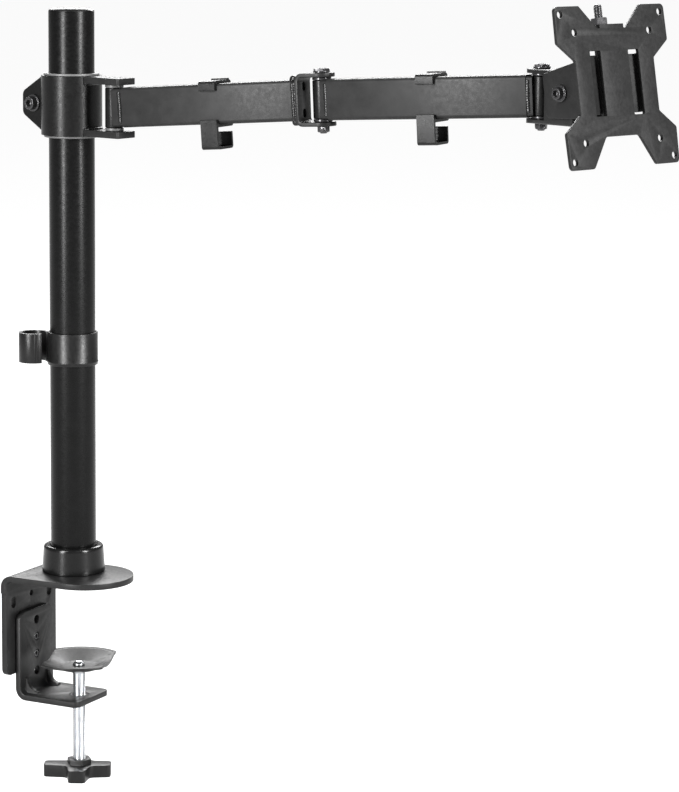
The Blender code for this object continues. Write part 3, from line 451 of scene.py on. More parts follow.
def thread_mesh(radius, low, high, pitch=THREAD_PITCH, depth=0.85, around=36, per_turn=10):
    """A rod with a rounded 60 degree thread cut along its whole length."""
    rows = int((high - low) / pitch * per_turn)
    bm = bmesh.new()
    rings = []
    for row in range(rows + 1):
        z = low + (high - low) * row / rows
        taper = min(1.0, (z - low) / pitch, (high - z) / pitch)
        points = []
        for i in range(around):
            phase = (z / pitch - i / around) % 1.0
            flank = min(1.0, max(0.0, 1.55 * (1 - abs(2 * phase - 1)) - 0.2))
            points.append((2 * pi * i / around, radius - depth * (1 - flank * taper)))
        rings.append([bm.verts.new((r * cos(a), r * sin(a), z)) for a, r in points])
    for lower, upper in zip(rings, rings[1:]):
        for i in range(around):
            bm.faces.new((lower[i - 1], lower[i], upper[i], upper[i - 1]))
    bm.faces.new(rings[0])
    bm.faces.new(rings[-1])
    return as_mesh(bm)


def finished(name, mesh, place, finish, nodes=(), body=None, changes=(), bevel=0.0, segments=3, sharp=38):
    obj = bpy.data.objects.new(name, mesh)
    bpy.context.scene.collection.objects.link(obj)
    helpers = []
    for operation, other in changes:
        helper = bpy.data.objects.new("helper", other)
        bpy.context.scene.collection.objects.link(helper)
        helpers.append(helper)
        modifier = obj.modifiers.new(operation, "BOOLEAN")
        modifier.operation = operation
        modifier.object = helper
    if bevel:
        modifier = obj.modifiers.new("edges", "BEVEL")
        modifier.width = bevel
        modifier.segments = segments
        modifier.limit_method = "ANGLE"
        modifier.angle_limit = radians(32)
        modifier.use_clamp_overlap = True
    bpy.context.view_layer.update()
    graph = bpy.context.evaluated_depsgraph_get()
    done = bpy.data.meshes.new_from_object(obj.evaluated_get(graph))
    for helper in helpers + [obj]:
        bpy.data.objects.remove(helper)
    bm = bmesh.new()
    bm.from_mesh(done)
    bmesh.ops.remove_doubles(bm, verts=bm.verts, dist=0.002)
    bmesh.ops.dissolve_degenerate(bm, edges=bm.edges, dist=0.001)
    bm.to_mesh(done)
    bm.free()
    done.transform(place @ Matrix.Scale(MM, 4))
    done.shade_smooth()
    done.set_sharp_from_angle(angle=radians(sharp))
    done.materials.clear()
    done.materials.append(finish)
    piece = bpy.data.objects.new(name, done)
    bpy.context.scene.collection.objects.link(piece)
    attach(piece, body or BODY_OF[nodes[0]])
    if nodes:
        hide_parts(*nodes)
    return piece


def bead(name, path, radius, place, body, closed=False, seed=0.0):
    mesh = bead_mesh(path, radius, closed, seed)
    return finished(name, mesh, place, WELD_COAT, body=body, sharp=70)


# ---------------------------------------------------------------- clamp


def bent_side(back, top, low, end, bend, sheet):
    """Outline of a sheet bent once, in x and z, with the bend at its back."""
    inner = bend - sheet
    return rounded(
        [(end, top, 0), (back, top, bend), (back, low, 0), (back + sheet, low, 0), (back + sheet, top - sheet, inner)]
        + [(end, top - sheet, 0)],
        12,
    )


def upper_jaw():
    end = JAW_CENTRE + JAW_RADIUS + 4
    side = bent_side(LEG_BACK, SHEET, LEG_BOTTOM - 6, end, JAW_BEND, SHEET)
    near, far = CLAMP_Y - JAW_RADIUS, CLAMP_Y + JAW_RADIUS
    plan = [(-60, far), (-60, near)] + arc(JAW_CENTRE, CLAMP_Y, JAW_RADIUS, -90, 90, 72)
    near, far = CLAMP_Y - LEG_HALF_WIDTH, CLAMP_Y + LEG_HALF_WIDTH
    front = [(near - 20, 12, 0), (near - 20, -5, 0), (near, -9, 3), (near, LEG_BOTTOM, 6)]
    front += [(far, LEG_BOTTOM, 6), (far, -9, 3), (far + 20, -5, 0), (far + 20, 12, 0)]
    through = (LEG_BACK - 3, LEG_BACK + SHEET + 3)
    cuts = [prism(rectangle(y - 3, -23, y + 3, -14, 2.9), *through, FACING) for y in (CLAMP_Y - 25, CLAMP_Y + 25)]
    cuts += [rod(CLAMP_Y, z, JAW_HOLE_RADIUS, *through, FACING) for z in HOLE_HEIGHTS[1:3]]
    cuts.append(rod(CLAMP_Y, -16, 2.2, *through, FACING))
    for x, y in circle(0, 0, FOOT_SCREW_RING, 3):
        sink = [(0, SHEET + 2), (2.8, SHEET + 2), (2.8, 2.46), (5.8, -0.6), (0, -0.6)]
        mesh = lathe(sink, 48)
        mesh.transform(Matrix.Translation((x, y, 0)))
        cuts.append(mesh)
    changes = [("INTERSECT", prism(plan, LEG_BOTTOM - 20, 20)), ("INTERSECT", prism(rounded(front), -60, 60, FACING))]
    changes.append(("DIFFERENCE", merged(cuts)))
    width = JAW_RADIUS + 12
    finished("upper_jaw", prism(side, -width, width, UPRIGHT), ROOT, COAT, ["upper_jaw_bracket"],
             changes=changes, bevel=0.55)


def lower_jaw():
    bottom = LOWER_JAW_TOP - SHEET
    back, end = LOWER_BACK, LOWER_JAW_END + 5
    side = [(back, LOWER_TOP + 5, 0), (back, bottom, LOWER_BEND), (end, bottom, 0), (end, LOWER_JAW_TOP, 0)]
    side += [(back + SHEET, LOWER_JAW_TOP, LOWER_BEND - SHEET), (back + SHEET, LOWER_TOP + 5, 0)]
    near, far = CLAMP_Y - LOWER_HALF_WIDTH, CLAMP_Y + LOWER_HALF_WIDTH
    plan = [(back - 5, near, 0), (LOWER_JAW_END, near, 5), (LOWER_JAW_END, far, 5), (back - 5, far, 0)]
    front = [(near - 1, -115, 0), (far + 1, -115, 0), (far + 1, LOWER_TOP, 9), (near - 1, LOWER_TOP, 9)]
    inner = back + SHEET
    reach = GUSSET + LOWER_BEND - SHEET
    dart = [(inner - 1, LOWER_JAW_TOP - 1), (inner + reach, LOWER_JAW_TOP - 1)]
    dart += arc(inner + reach, LOWER_JAW_TOP + reach, reach - 1.5, 265, 185, 10)
    dart.append((inner - 1, LOWER_JAW_TOP + reach))
    darts = merged([prism(dart, -y - 2, -y + 2, UPRIGHT) for y in (CLAMP_Y - GUSSET_SPREAD, CLAMP_Y + GUSSET_SPREAD)])
    screw = pos("screw_turn") / MM
    cuts = [rod(CLAMP_Y, z, JAW_HOLE_RADIUS, back - 3, back + SHEET + 3, FACING) for z in HOLE_HEIGHTS]
    cuts.append(rod(screw.x, screw.y, 7.3, bottom - 3, LOWER_JAW_TOP + 3))
    width = LOWER_HALF_WIDTH + 12
    changes = [("INTERSECT", prism(rounded(plan), -110, 0)), ("INTERSECT", prism(rounded(front), -60, 60, FACING))]
    changes += [("UNION", darts), ("DIFFERENCE", merged(cuts))]
    finished("lower_jaw", prism(rounded(side, 12), -width, width, UPRIGHT), ROOT, COAT, ["lower_jaw_bracket"],
             changes=changes, bevel=0.5)


def jaw_bolts():
    face, end = LEG_BACK - GAP, LOWER_BACK + SHEET - 0.4
    profile = [(0, end, 0), (3.0, end, 0.5), (3.0, face, 0.2), (5.2, face, 0.2), (5.2, face - 1.0, 0.6)]
    profile += [(4.0, face - 2.8, 1.2), (0, face - 3.1, 0)]
    for name, z in zip(("jaw_bolt_upper", "jaw_bolt_lower"), HOLE_HEIGHTS[1:3]):
        sockets = [prism(hexagon(0, 0, 3.0), end - 2.5, end + 1, FORWARD)]
        sockets.append(prism(hexagon(0, 0, 4.0), face - 4, face - 1.6, FORWARD))
        finished(name + "_button_head", lathe(rounded(profile, 5), 64, FORWARD),
                 frame_at(Vector((0, CLAMP_Y, z)) * MM), OXIDE, [name],
                 changes=[("DIFFERENCE", merged(sockets))], bevel=0.12, segments=2)


def clamp_screw():
    top, under = LOWER_JAW_TOP, LOWER_JAW_TOP - SHEET
    bush = [(5.3, top, 0.3), (7.0, top, 0.4), (7.0, under - GAP, 0.1), (8.6, under - GAP, 0.3)]
    bush += [(8.6, under - 2.2, 0.5), (5.3, under - 2.2, 0.3)]
    finished("threaded_bush", lathe(rounded(bush, 4), 72, closed=True), SCREW, OXIDE, ["clamp_threaded_bush"])
    seat = PAD_SEAT
    dome = [(0, seat + 6.2, 0), (2.4, seat + 5.8, 1.5), (4.5, seat + 4.2, 1.0), (4.6, seat + 2.9, 0.3)]
    neck = [(3.6, seat + 2.9, 0.2), (3.6, seat - GAP, 0.1), (4.6, seat - GAP, 0.3)]
    neck += [(4.6, seat - 3, 0), (0, seat - 3, 0)]
    thread = thread_mesh(SCREW_RADIUS, LOBE_BOTTOM + 5.0, seat - 1.2)
    finished("zinc_clamp_screw", lathe(rounded(dome + neck, 6), 72), SCREW, ZINC, ["clamp_screw"],
             changes=[("UNION", thread)], sharp=50)


def clamp_pad():
    """Pressed dish with two flats, a flat rim and a raised seat round the riveted screw."""
    seat = PAD_SEAT
    profile = [(3.95, seat + 2.6, 0.2), (13.0, seat + 2.6, 5.0), (PAD_RADIUS - 5.0, PAD_RIM, 4.0)]
    profile += [(PAD_RADIUS, PAD_RIM, 0.8), (PAD_RADIUS, PAD_RIM - 2.1, 0.8), (PAD_RADIUS - 4.5, PAD_RIM - 2.1, 4.0)]
    profile += [(14.0, seat, 5.0), (3.95, seat, 0.2)]
    keep = prism(rectangle(-60, -PAD_FLAT, 60, PAD_FLAT), PAD_RIM - 30, PAD_RIM + 10,
                 Matrix.Rotation(PAD_TURN + pi / 2, 4, "Z"))
    finished("pressed_pad", lathe(rounded(profile, 8), 144, closed=True), SCREW, COAT, ["clamp_pad"],
             changes=[("INTERSECT", keep)], bevel=0.35, segments=2)


def knob():
    half = LOBE_HALF_WIDTH
    outline = [
        (-LOBE_LEFT, half, 3.0),
        (-LOBE_LEFT, -half, 3.0),
        (-half - 2.6, -half - 2.0, 5.0),
        (-half, -LOBE_FRONT, 3.0),
        (half, -LOBE_FRONT, 3.0),
        (half + 2.6, -half - 2.0, 5.0),
        (LOBE_RIGHT, -half, 3.0),
        (LOBE_RIGHT, half, 3.0),
        (11.0, half + 0.6, 4.0),
        (5.5, 10.4, 3.0),
        (-5.5, 10.4, 3.0),
        (-11.0, half + 0.6, 4.0),
    ]
    turned = Matrix.Rotation(KNOB_TURN, 4, "Z")
    lobes = prism(rounded(outline), LOBE_BOTTOM, LOBE_TOP, turned)
    hub = prism(hexagon(0, 0, 17.0, 15), LOBE_BOTTOM + 2, HUB_TOP)
    bore = rod(0, 0, SCREW_RADIUS + GAP, LOBE_BOTTOM + 4.7, HUB_TOP + 3)
    pockets = ((-LOBE_LEFT + 4, -3.2, -11, 3.2), (11, -3.2, LOBE_RIGHT - 4, 3.2), (-3.2, -LOBE_FRONT + 4, 3.2, -11))
    dimples = [prism(rectangle(*pocket, 2.4), LOBE_BOTTOM - 1, LOBE_BOTTOM + 1.2, turned) for pocket in pockets]
    finished("hand_knob", lobes, SCREW, MOULDED, ["clamp_knob"],
             changes=[("UNION", hub), ("DIFFERENCE", bore), ("DIFFERENCE", merged(dimples))], bevel=1.1, segments=4)


# ---------------------------------------------------------------- pole


def pole():
    foot = SHEET + GAP
    tube = ring(POLE_RADIUS - POLE_WALL, POLE_RADIUS, foot, POLE_TOP, 0.4, 160)
    finished("pole_tube", tube, ROOT, POLE_COAT, ["pole"])
    inner = POLE_RADIUS - POLE_WALL - GAP
    low = POLE_TOP + GAP
    cap = [(0, low + CAP_RISE, 0), (POLE_RADIUS - 1.5, low + CAP_RISE - 0.5, 5.0), (POLE_RADIUS, low + 0.2, 0.8)]
    cap += [(POLE_RADIUS, low, 0), (inner, low, 0.2), (inner, POLE_TOP - 12, 0.4), (0, POLE_TOP - 12, 0)]
    finished("pole_cap", lathe(rounded(cap, 8), 128), ROOT, MOULDED, ["pole_top_cap"])
    bore = POLE_RADIUS + GAP
    top = BASE_COLLAR_TOP
    collar = [(bore, top - 0.8, 0.6), (bore + 1.4, top, 0.8), (23.0, top, 2.4), (23.3, top - 3.0, 2.0)]
    collar += [(24.4, foot + 1.2, 0.4), (24.4, foot, 0.3), (bore, foot, 0)]
    finished("base_collar", lathe(rounded(collar, 8), 144, closed=True), ROOT, GLOSSY, ["pole_base_collar"])


def foot_screws():
    """Countersunk screws up through the jaw, with hexagon sockets. The plug they hold keeps its plain shape."""
    profile = [(0, 18.5, 0), (2.5, 18.5, 0.5), (2.5, 2.4, 0), (4.1, 0.8, 0.1), (4.1, 0.2, 0.1), (0, 0.2, 0)]
    for i, (x, y) in enumerate(circle(0, 0, FOOT_SCREW_RING, 3)):
        socket = prism(hexagon(0, 0, 3.0), -1, 2.0)
        finished(f"foot_screw_{i + 1}_countersunk", lathe(rounded(profile, 3), 40),
                 frame_at(Vector((x, y, 0)) * MM), OXIDE, [f"foot_screw_{i + 1}"], changes=[("DIFFERENCE", socket)])
    plug = frame["nodes"]["pole_foot_plug"]
    plug.data.materials.clear()
    plug.data.materials.append(OXIDE)


def pole_clip():
    """Snap band round the pole with a curled hook, ribs on the hook's lips and a ridge low on the band."""
    low, high = POLE_CLIP_LOW, POLE_CLIP_HIGH
    inner = POLE_RADIUS + GAP
    outer = POLE_CLIP_RADIUS
    band = [(inner, high, 0.5), (outer, high, 0.7), (outer, low + 3.4, 0), (outer + 0.35, low + 2.8, 0.2)]
    band += [(outer + 0.35, low + 2.0, 0.2), (outer, low + 1.4, 0), (outer, low, 0.6), (inner, low, 0.5)]
    hook = arc(HOOK_CENTRE, 0, HOOK_RADIUS, -176, 128, 60)
    hook += arc(HOOK_CENTRE, 0, HOOK_RADIUS - HOOK_WALL, 128, -176, 60)
    solid = [("UNION", prism(hook, low + 1.5, high - 0.8))]
    lips = []
    for turn in (100.0, 112.0, 124.0):
        a = radians(turn)
        x, y = HOOK_CENTRE + HOOK_RADIUS * cos(a), HOOK_RADIUS * sin(a)
        lips.append(rod(x, y, 0.55, low + 2.2, high - 1.5, steps=16))
    solid.append(("UNION", merged(lips)))
    finished("pole_clip_moulding", lathe(rounded(band, 4), 128, closed=True), POLE_CLIP, MOULDED, ["pole_cable_clip"],
             changes=solid, bevel=0.3, segments=2)


# ---------------------------------------------------------------- collar


def collar():
    inner, half = POLE_RADIUS + GAP, BAND_HALF
    edge, wall = half + 1.9, LINER_RADIUS - GAP
    liner = [(inner, edge, 0.4), (LINER_FLANGE, edge, 0.6), (LINER_FLANGE, half + GAP, 0.2), (wall, half + GAP, 0)]
    liner += [(r, -z, e) for r, z, e in reversed(liner)]
    slide = frame_at((0, 0, pos("collar_swivel").z))
    finished("collar_liner_bush", lathe(rounded(liner, 4), 128, closed=True), slide, NYLON, ["collar_liner"])

    inside = EAR_GAP / 2
    ear = [(-BAND_RADIUS + 3, half, 0), (-BAND_RADIUS, half, 0), (-EAR_REACH, 8.5, 5), (-EAR_REACH, -8.5, 5)]
    ear += [(-BAND_RADIUS, -half, 0), (-BAND_RADIUS + 3, -half, 0)]
    changes = []
    for low in (-inside - EAR_THICK, inside):
        changes.append(("UNION", prism(rounded(ear), low, low + EAR_THICK, UPRIGHT)))
    changes.append(("DIFFERENCE", rod(0, 0, LINER_RADIUS, -half - 5, half + 5, steps=144)))
    changes.append(("DIFFERENCE", prism(rectangle(-EAR_REACH - 5, -inside, -10, inside), -half - 6, half + 6)))
    changes.append(("DIFFERENCE", rod(EAR_BOLT_X, 0, 3.4, -12, 12, UPRIGHT)))
    finished("collar_band_pressed", prism(circle(0, 0, BAND_RADIUS, 144), -half, half), COLLAR, BAND_COAT,
             ["collar_band"], changes=changes, bevel=0.45)

    seat = BAND_RADIUS + GAP
    start = sqrt(seat**2 - LUG_HALF_WIDTH**2)
    end = SHOULDER_X + LUG_END
    wide = atan2(LUG_HALF_WIDTH, start) * 180 / pi
    outline = [(x, y, 0) for x, y in arc(0, 0, seat, wide, -wide, 20)]
    outline += [(end, -LUG_HALF_WIDTH, 1.5), (end, LUG_HALF_WIDTH, 1.5)]
    for name, low, sign in (("shoulder_lug_upper", half - LUG_THICK, 1), ("shoulder_lug_lower", -half, -1)):
        hole = rod(SHOULDER_X, 0, PIN_RADIUS + GAP, low - 2, low + LUG_THICK + 2)
        finished(name + "_plate", prism(rounded(outline), low, low + LUG_THICK), COLLAR, COAT, [name],
                 changes=[("DIFFERENCE", hole)], bevel=0.6)
        height = low + LUG_THICK / 2 - sign * (LUG_THICK / 2 + 0.2)
        path = [(x, y, height) for x, y in arc(0, 0, seat + 0.5, -wide + 2, wide - 2, 14)]
        bead(name + "_weld", path, 1.3, COLLAR, "collar", seed=sign * 3.0)

    pin = [(0, half, 0), (PIN_RADIUS, half, 0.5), (PIN_RADIUS, -half, 0.5), (0, -half, 0)]
    dimple = [rod(0, 0, 1.2, half - 0.8, half + 1, far=1.8), rod(0, 0, 1.8, -half - 1, -half + 0.8, far=1.2)]
    finished("shoulder_pin_turned", lathe(rounded(pin, 4), 64), LUGS, OXIDE, ["shoulder_pin"],
             changes=[("DIFFERENCE", merged(dimple))])
    high, low = half - LUG_THICK - GAP, SHOULDER_BARREL_HALF + GAP
    for name, ends in (("shoulder_washer_upper", (low, high)), ("shoulder_washer_lower", (-high, -low))):
        finished(name + "_disc", ring(PIN_RADIUS + GAP, BARREL_RADIUS, *ends, 0.25, 72), LUGS, NYLON, [name])


def collar_bolt():
    """Flanged socket screw through the ears, with its nut behind."""
    face = EAR_GAP / 2 + EAR_THICK + GAP
    bolt = [(0, face + 5.6, 0), (4.8, face + 5.6, 0.7), (5.4, face + 1.2, 0.3), (6.6, face + 1.2, 0.4)]
    bolt += [(6.6, face, 0.1), (3.0, face, 0), (3.0, -face - 6.2, 0.5), (0, -face - 6.2, 0)]
    place = COLLAR @ Matrix.Translation((EAR_BOLT_X * MM, 0, 0))
    socket = prism(hexagon(0, 0, 5.0), face + 1.4, face + 7, SIDEWAYS)
    finished("collar_bolt_flanged", lathe(rounded(bolt, 5), 72, SIDEWAYS), place, OXIDE, ["collar_clamp_bolt"],
             changes=[("DIFFERENCE", socket)], bevel=0.15, segments=2)
    hex_nut("collar_clamp_nut", 10.0, 3.0 + GAP, -face - 5.0, -face, place @ SIDEWAYS)


def hex_nut(name, width, bore, low, high, place, finish=None, taper=0.0):
    """A hexagon nut with both ends turned to a chamfer, or tapered to its low end."""
    corner = width / 2 / cos(pi / 6)
    turned = [(0, high, 0), (corner - 0.35, high, 0), (corner + 0.1, high - 0.4, 0)]
    turned += [(corner + 0.1 - taper, low + 0.5, 0), (width / 2 - taper, low, 0), (0, low, 0)]
    changes = [("INTERSECT", lathe(rounded(turned), 72)), ("DIFFERENCE", rod(0, 0, bore, low - 2, high + 2))]
    finished(name + "_hexagon", prism(hexagon(0, 0, width), low - 0.5, high + 0.5), place, finish or OXIDE, [name],
             changes=changes, bevel=0.15, segments=2)


# ---------------------------------------------------------------- arms


def barrel(name, half, place):
    finished(name + "_bored", ring(PIN_RADIUS + GAP, BARREL_RADIUS, -half, half, 0.7, 96), place, BAND_COAT, [name])


def tube_section(inset, corner):
    y, z = TUBE_HALF_WIDTH - inset, TUBE_HALF_HEIGHT - inset
    return rectangle(-y, -z, y, z, corner)


def arm_tube(name, place, start, end, welds, scoops):
    outer = prism(tube_section(0, TUBE_CORNER), start, end, FACING)
    bore = prism(tube_section(TUBE_WALL, TUBE_CORNER - TUBE_WALL), start - 5, end + 5, FACING)
    changes = [("DIFFERENCE", bore)]
    for low, high in welds:
        wall = prism(tube_section(0.8, 2.2), low, high, FACING)
        changes.append(("UNION", wall))
        changes.append(("DIFFERENCE", prism(tube_section(3.2, 1.0), low - 1, high + 1, FACING)))
    for where in scoops:
        scoop = rod(0, 0, BARREL_RADIUS + GAP, -40, 40, steps=72)
        scoop.transform(where)
        changes.append(("DIFFERENCE", scoop))
    finished(name + "_box_section", outer, place, TUBE_COAT, [name], changes=changes, bevel=0.3, segments=2)


def relative(place, other):
    """The other frame as seen from this one, in millimetres."""
    matrix = place.inverted() @ other
    matrix.translation = matrix.translation / MM
    return matrix


def barrel_welds(name, place, at, body, sign, height):
    """Upright weld beads at both sides of a barrel where a tube meets it, and one over the top and bottom."""
    for side in (-1, 1):
        path = [(at, side * 7.4, -height), (at + sign * 0.5, side * 7.7, 0), (at, side * 7.4, height)]
        bead(f"{name}_weld_{'near' if side < 0 else 'far'}", path, 2.3, place, body, seed=at + side)
    for end in (-1, 1):
        path = [(at + sign * 0.8, -7.0, end * height), (at + sign * 0.4, 0, end * (height + 0.3))]
        path.append((at + sign * 0.8, 7.0, end * height))
        bead(f"{name}_weld_{'low' if end < 0 else 'high'}", path, 1.5, place, body, seed=at + 10 * end)


def elbow_yoke():
    high, sheet, half = YOKE_HALF_HEIGHT, YOKE_SHEET, YOKE_HALF_WIDTH
    side = [(YOKE_WEB_X, high, 6), (YOKE_WEB_X, -high, 6), (30, -high, 0), (30, -high + sheet, 0)]
    side += [(YOKE_WEB_X + sheet, -high + sheet, 3), (YOKE_WEB_X + sheet, high - sheet, 3), (30, high - sheet, 0)]
    side.append((30, high, 0))
    plan = [(-30, half), (-30, -half)] + arc(YOKE_ARC_X, 0, half, -90, 90, 40)
    cuts = [rod(0, 0, PIN_RADIUS + GAP, -30, 30)]
    through = (YOKE_WEB_X - 3, YOKE_WEB_X + sheet + 3)
    cuts += [prism(rectangle(-2.2, z - 3.2, 2.2, z + 3.2, 2.1), *through, FACING) for z in (-9.8, 9.8)]
    finished("elbow_yoke_bent", prism(rounded(side, 10), -14, 14, UPRIGHT), ELBOW, COAT, ["arm1_elbow_yoke"],
             changes=[("INTERSECT", prism(plan, -40, 40)), ("DIFFERENCE", merged(cuts))], bevel=0.45)
    end = REACH_1 + YOKE_WEB_X - 1.0
    around = [(end, y, z) for y, z in rectangle(-9.2, -14.2, 9.2, 14.2, 3.0)]
    bead("elbow_yoke_weld", around, 1.7, TUBE_1, "arm_1", closed=True, seed=5.0)
    for sign in (-1, 1):
        path = [(end - 1.0, y, sign * 15.6) for y in (-7.5, 0, 7.5)]
        bead(f"elbow_yoke_fillet_{'low' if sign < 0 else 'high'}", path, 2.6, TUBE_1, "arm_1", seed=sign * 7.0)


def hinge_hardware(prefix, half, place, nut_width):
    """Flanged bolt head over a pin, tapered lock nut below, and two friction washers."""
    top = half + GAP
    pin = [(0, top + 1.2, 0), (6.2, top + 1.2, 0.4), (6.2, top, 0.1), (PIN_RADIUS, top, 0)]
    pin += [(PIN_RADIUS, -half + YOKE_SHEET, 0.2), (THREAD_RADIUS, -half + YOKE_SHEET - 0.4, 0)]
    pin += [(THREAD_RADIUS, -top - 5.1, 0.5), (0, -top - 5.1, 0)]
    head = prism(hexagon(0, 0, 10.6, 12), top + 0.6, top + 3.0)
    crown = lathe([(0, top + 3.0), (5.3, top + 3.0), (7.2, top + 1.9), (7.2, -60), (0, -60)], 72)
    socket = prism(hexagon(0, 0, 5.0, 12), top + 1.0, top + 4)
    finished(f"{prefix}_bolt_flanged", lathe(rounded(pin, 4), 72), place, OXIDE, [f"{prefix}_bolt"],
             changes=[("UNION", head), ("INTERSECT", crown), ("DIFFERENCE", socket)], bevel=0.15, segments=2)
    hex_nut(f"{prefix}_nut", nut_width, THREAD_RADIUS + GAP, -top - 4.2, -top, place, taper=0.5)
    high, low = half - YOKE_SHEET - GAP, BARREL_HALF + GAP
    for name, ends in ((f"{prefix}_washer_upper", (low, high)), (f"{prefix}_washer_lower", (-high, -low))):
        finished(name + "_disc", ring(PIN_RADIUS + GAP, BARREL_RADIUS, *ends, 0.3, 72), place, OXIDE, [name])


def arm_clip(name, at, place):
    """Snap-on clip: a C round the tube with a J-shaped hook below, half of its front raised."""
    in_y, in_z = TUBE_HALF_WIDTH + GAP, TUBE_HALF_HEIGHT + GAP
    out_y, out_z = in_y + CLIP_WALL, in_z + CLIP_WALL
    floor = -out_z - CLIP_DROP
    lip_top, lip_low = in_z - 5.3, -in_z + 3.8
    hook = out_y - 2
    outline = [
        (-in_y, lip_top, 0.5), (-in_y, in_z, 2.6), (in_y, in_z, 2.6), (in_y, -in_z, 2.6), (-in_y, -in_z, 2.6),
        (-in_y, lip_low, 0.5), (-out_y, lip_low, 0.5), (-out_y, floor, 2.5), (hook, floor, 2.5),
        (hook, floor + 12.5, 0.7), (hook - CLIP_WALL, floor + 12.5, 0.7), (hook - CLIP_WALL, floor + CLIP_WALL, 0.8),
        (-in_y, floor + CLIP_WALL, 0.8), (-in_y, -out_z, 0.4), (out_y, -out_z, 2.5), (out_y, out_z, 2.5),
        (-out_y, out_z, 2.5), (-out_y, lip_top, 0.5),
    ]
    half = CLIP_LENGTH / 2
    raised = 0.7
    front_half = (at + 0.4, at + half)
    face = (-out_y - raised, -out_y + 0.6)
    front = [
        prism(rectangle(face[0], lip_top, face[1], out_z - 1.6, 0.3), *front_half, FACING),
        prism(rectangle(face[0], floor + 1.8, face[1], lip_low, 0.3), *front_half, FACING),
        prism(rectangle(out_y - 4.5, out_z - 0.6, out_y - 2.6, out_z + 1.2, 0.4), at - half, at + half, FACING),
    ]
    finished(name + "_moulding", prism(rounded(outline, 6), at - half, at + half, FACING), place, MOULDED, [name],
             changes=[("UNION", merged(front))], bevel=0.3, segments=2)


def arms():
    barrel("arm1_shoulder_barrel", SHOULDER_BARREL_HALF, SHOULDER)
    weld = [(3.0, SHOULDER_START + 2)]
    arm_tube("arm1_tube", TUBE_1, SHOULDER_START, REACH_1 + YOKE_WEB_X - 1.4, weld, [relative(TUBE_1, SHOULDER)])
    barrel_welds("shoulder", TUBE_1, SHOULDER_START - 2.6, "arm_1", 1, 12.6)
    arm_clip("arm1_cable_clip", CLIP_1_AT, TUBE_1)
    elbow_yoke()
    hinge_hardware("elbow", YOKE_HALF_HEIGHT, ELBOW, 8.8)

    barrel("arm2_elbow_barrel", BARREL_HALF, ELBOW)
    end = REACH_2 - WRIST_START
    welds = [(3.0, ELBOW_START + 2), (end - 2, REACH_2 - 3.0)]
    scoops = [relative(TUBE_2, ELBOW), relative(TUBE_2, WRIST_LINE)]
    arm_tube("arm2_tube", TUBE_2, ELBOW_START, end, welds, scoops)
    barrel_welds("elbow", TUBE_2, ELBOW_START - 1.4, "arm_2", 1, 12.4)
    barrel_welds("wrist", TUBE_2, end + 1.2, "arm_2", -1, 12.4)
    arm_clip("arm2_cable_clip", CLIP_2_AT, TUBE_2)
    barrel("arm2_wrist_barrel", BARREL_HALF, WRIST_LINE)
    hinge_hardware("wrist", WRIST_HALF_HEIGHT, WRIST, 8.0)


# ---------------------------------------------------------------- head


def wrist_yoke():
    high, sheet, half = WRIST_HALF_HEIGHT, YOKE_SHEET, YOKE_SIDE
    web = half - sheet
    inner = high - sheet
    lug = [(YOKE_FRONT + 10, -half - 3), (YOKE_FRONT + 10, half + 3), (14, half + 3)]
    lug += arc(0, 0, 10.5, 90, 270, 40) + [(14, -half - 3)]
    changes = [
        ("DIFFERENCE", prism(rectangle(-web, -inner, web, inner, 0.8), -30, 60, FACING)),
        ("INTERSECT", prism(lug, -40, 40)),
        ("DIFFERENCE", prism(rectangle(-25, -half - 5, 14, half + 5), -inner, inner)),
        ("DIFFERENCE", prism(rectangle(FLANGE_END, -web, YOKE_FRONT + 5, web), -high - 5, high + 5)),
        ("DIFFERENCE", rod(0, 0, PIN_RADIUS + GAP, -30, 30)),
        ("DIFFERENCE", rod(TILT_X, TILT_Z, PIN_RADIUS + GAP, -30, 30, UPRIGHT)),
    ]
    finished("wrist_yoke_folded", prism(rectangle(-half, -high, half, high, 3.5), -20, YOKE_FRONT, FACING),
             WRIST, COAT, ["wrist_yoke"], changes=changes, bevel=0.45)


def tilt_bracket():
    front, sheet = BRACKET_FRONT, YOKE_SHEET
    plan = [(-40, -EAR_OUT, 0), (front, -EAR_OUT, 4), (front, EAR_OUT, 4), (-40, EAR_OUT, 0)]
    plan += [(-40, EAR_OUT - sheet, 0), (front - sheet, EAR_OUT - sheet, 1), (front - sheet, -EAR_OUT + sheet, 1)]
    plan.append((-40, -EAR_OUT + sheet, 0))
    flare = [(front + 6, -22.3, 0), (front + 6, 22.3, 0)]
    flare += [(-EAR_REAR, EAR_REAR_HALF, 3), (-EAR_REAR, -EAR_REAR_HALF, 3)]
    changes = [
        ("INTERSECT", prism(rounded(flare, 12), -30, 30, UPRIGHT)),
        ("DIFFERENCE", rod(0, 0, PIN_RADIUS + GAP, -30, 30, UPRIGHT)),
        ("DIFFERENCE", rod(0, 0, 4.3, front - 8, front + 5, FACING)),
    ]
    finished("tilt_bracket_folded", prism(rounded(plan, 10), -30, 30), TILT, COAT, ["tilt_bracket"],
             changes=changes, bevel=0.4)


def tilt_hardware():
    face = EAR_OUT + GAP
    bolt = [(0, face + 5.0, 0), (4.2, face + 5.0, 0.7), (4.4, face + 1.3, 0.3), (6.0, face + 1.3, 0.4)]
    bolt += [(6.0, face, 0.1), (PIN_RADIUS, face, 0), (PIN_RADIUS, -face - 6.6, 0.6), (0, -face - 6.6, 0)]
    socket = prism(hexagon(0, 0, 4.6), face + 1.6, face + 6, SIDEWAYS)
    finished("tilt_bolt_flanged", lathe(rounded(bolt, 5), 72, SIDEWAYS), TILT, OXIDE, ["tilt_bolt"],
             changes=[("DIFFERENCE", socket)], bevel=0.15, segments=2)
    hex_nut("tilt_nut", 13.0, PIN_RADIUS + GAP, -face - 6.0, -face, TILT @ SIDEWAYS)


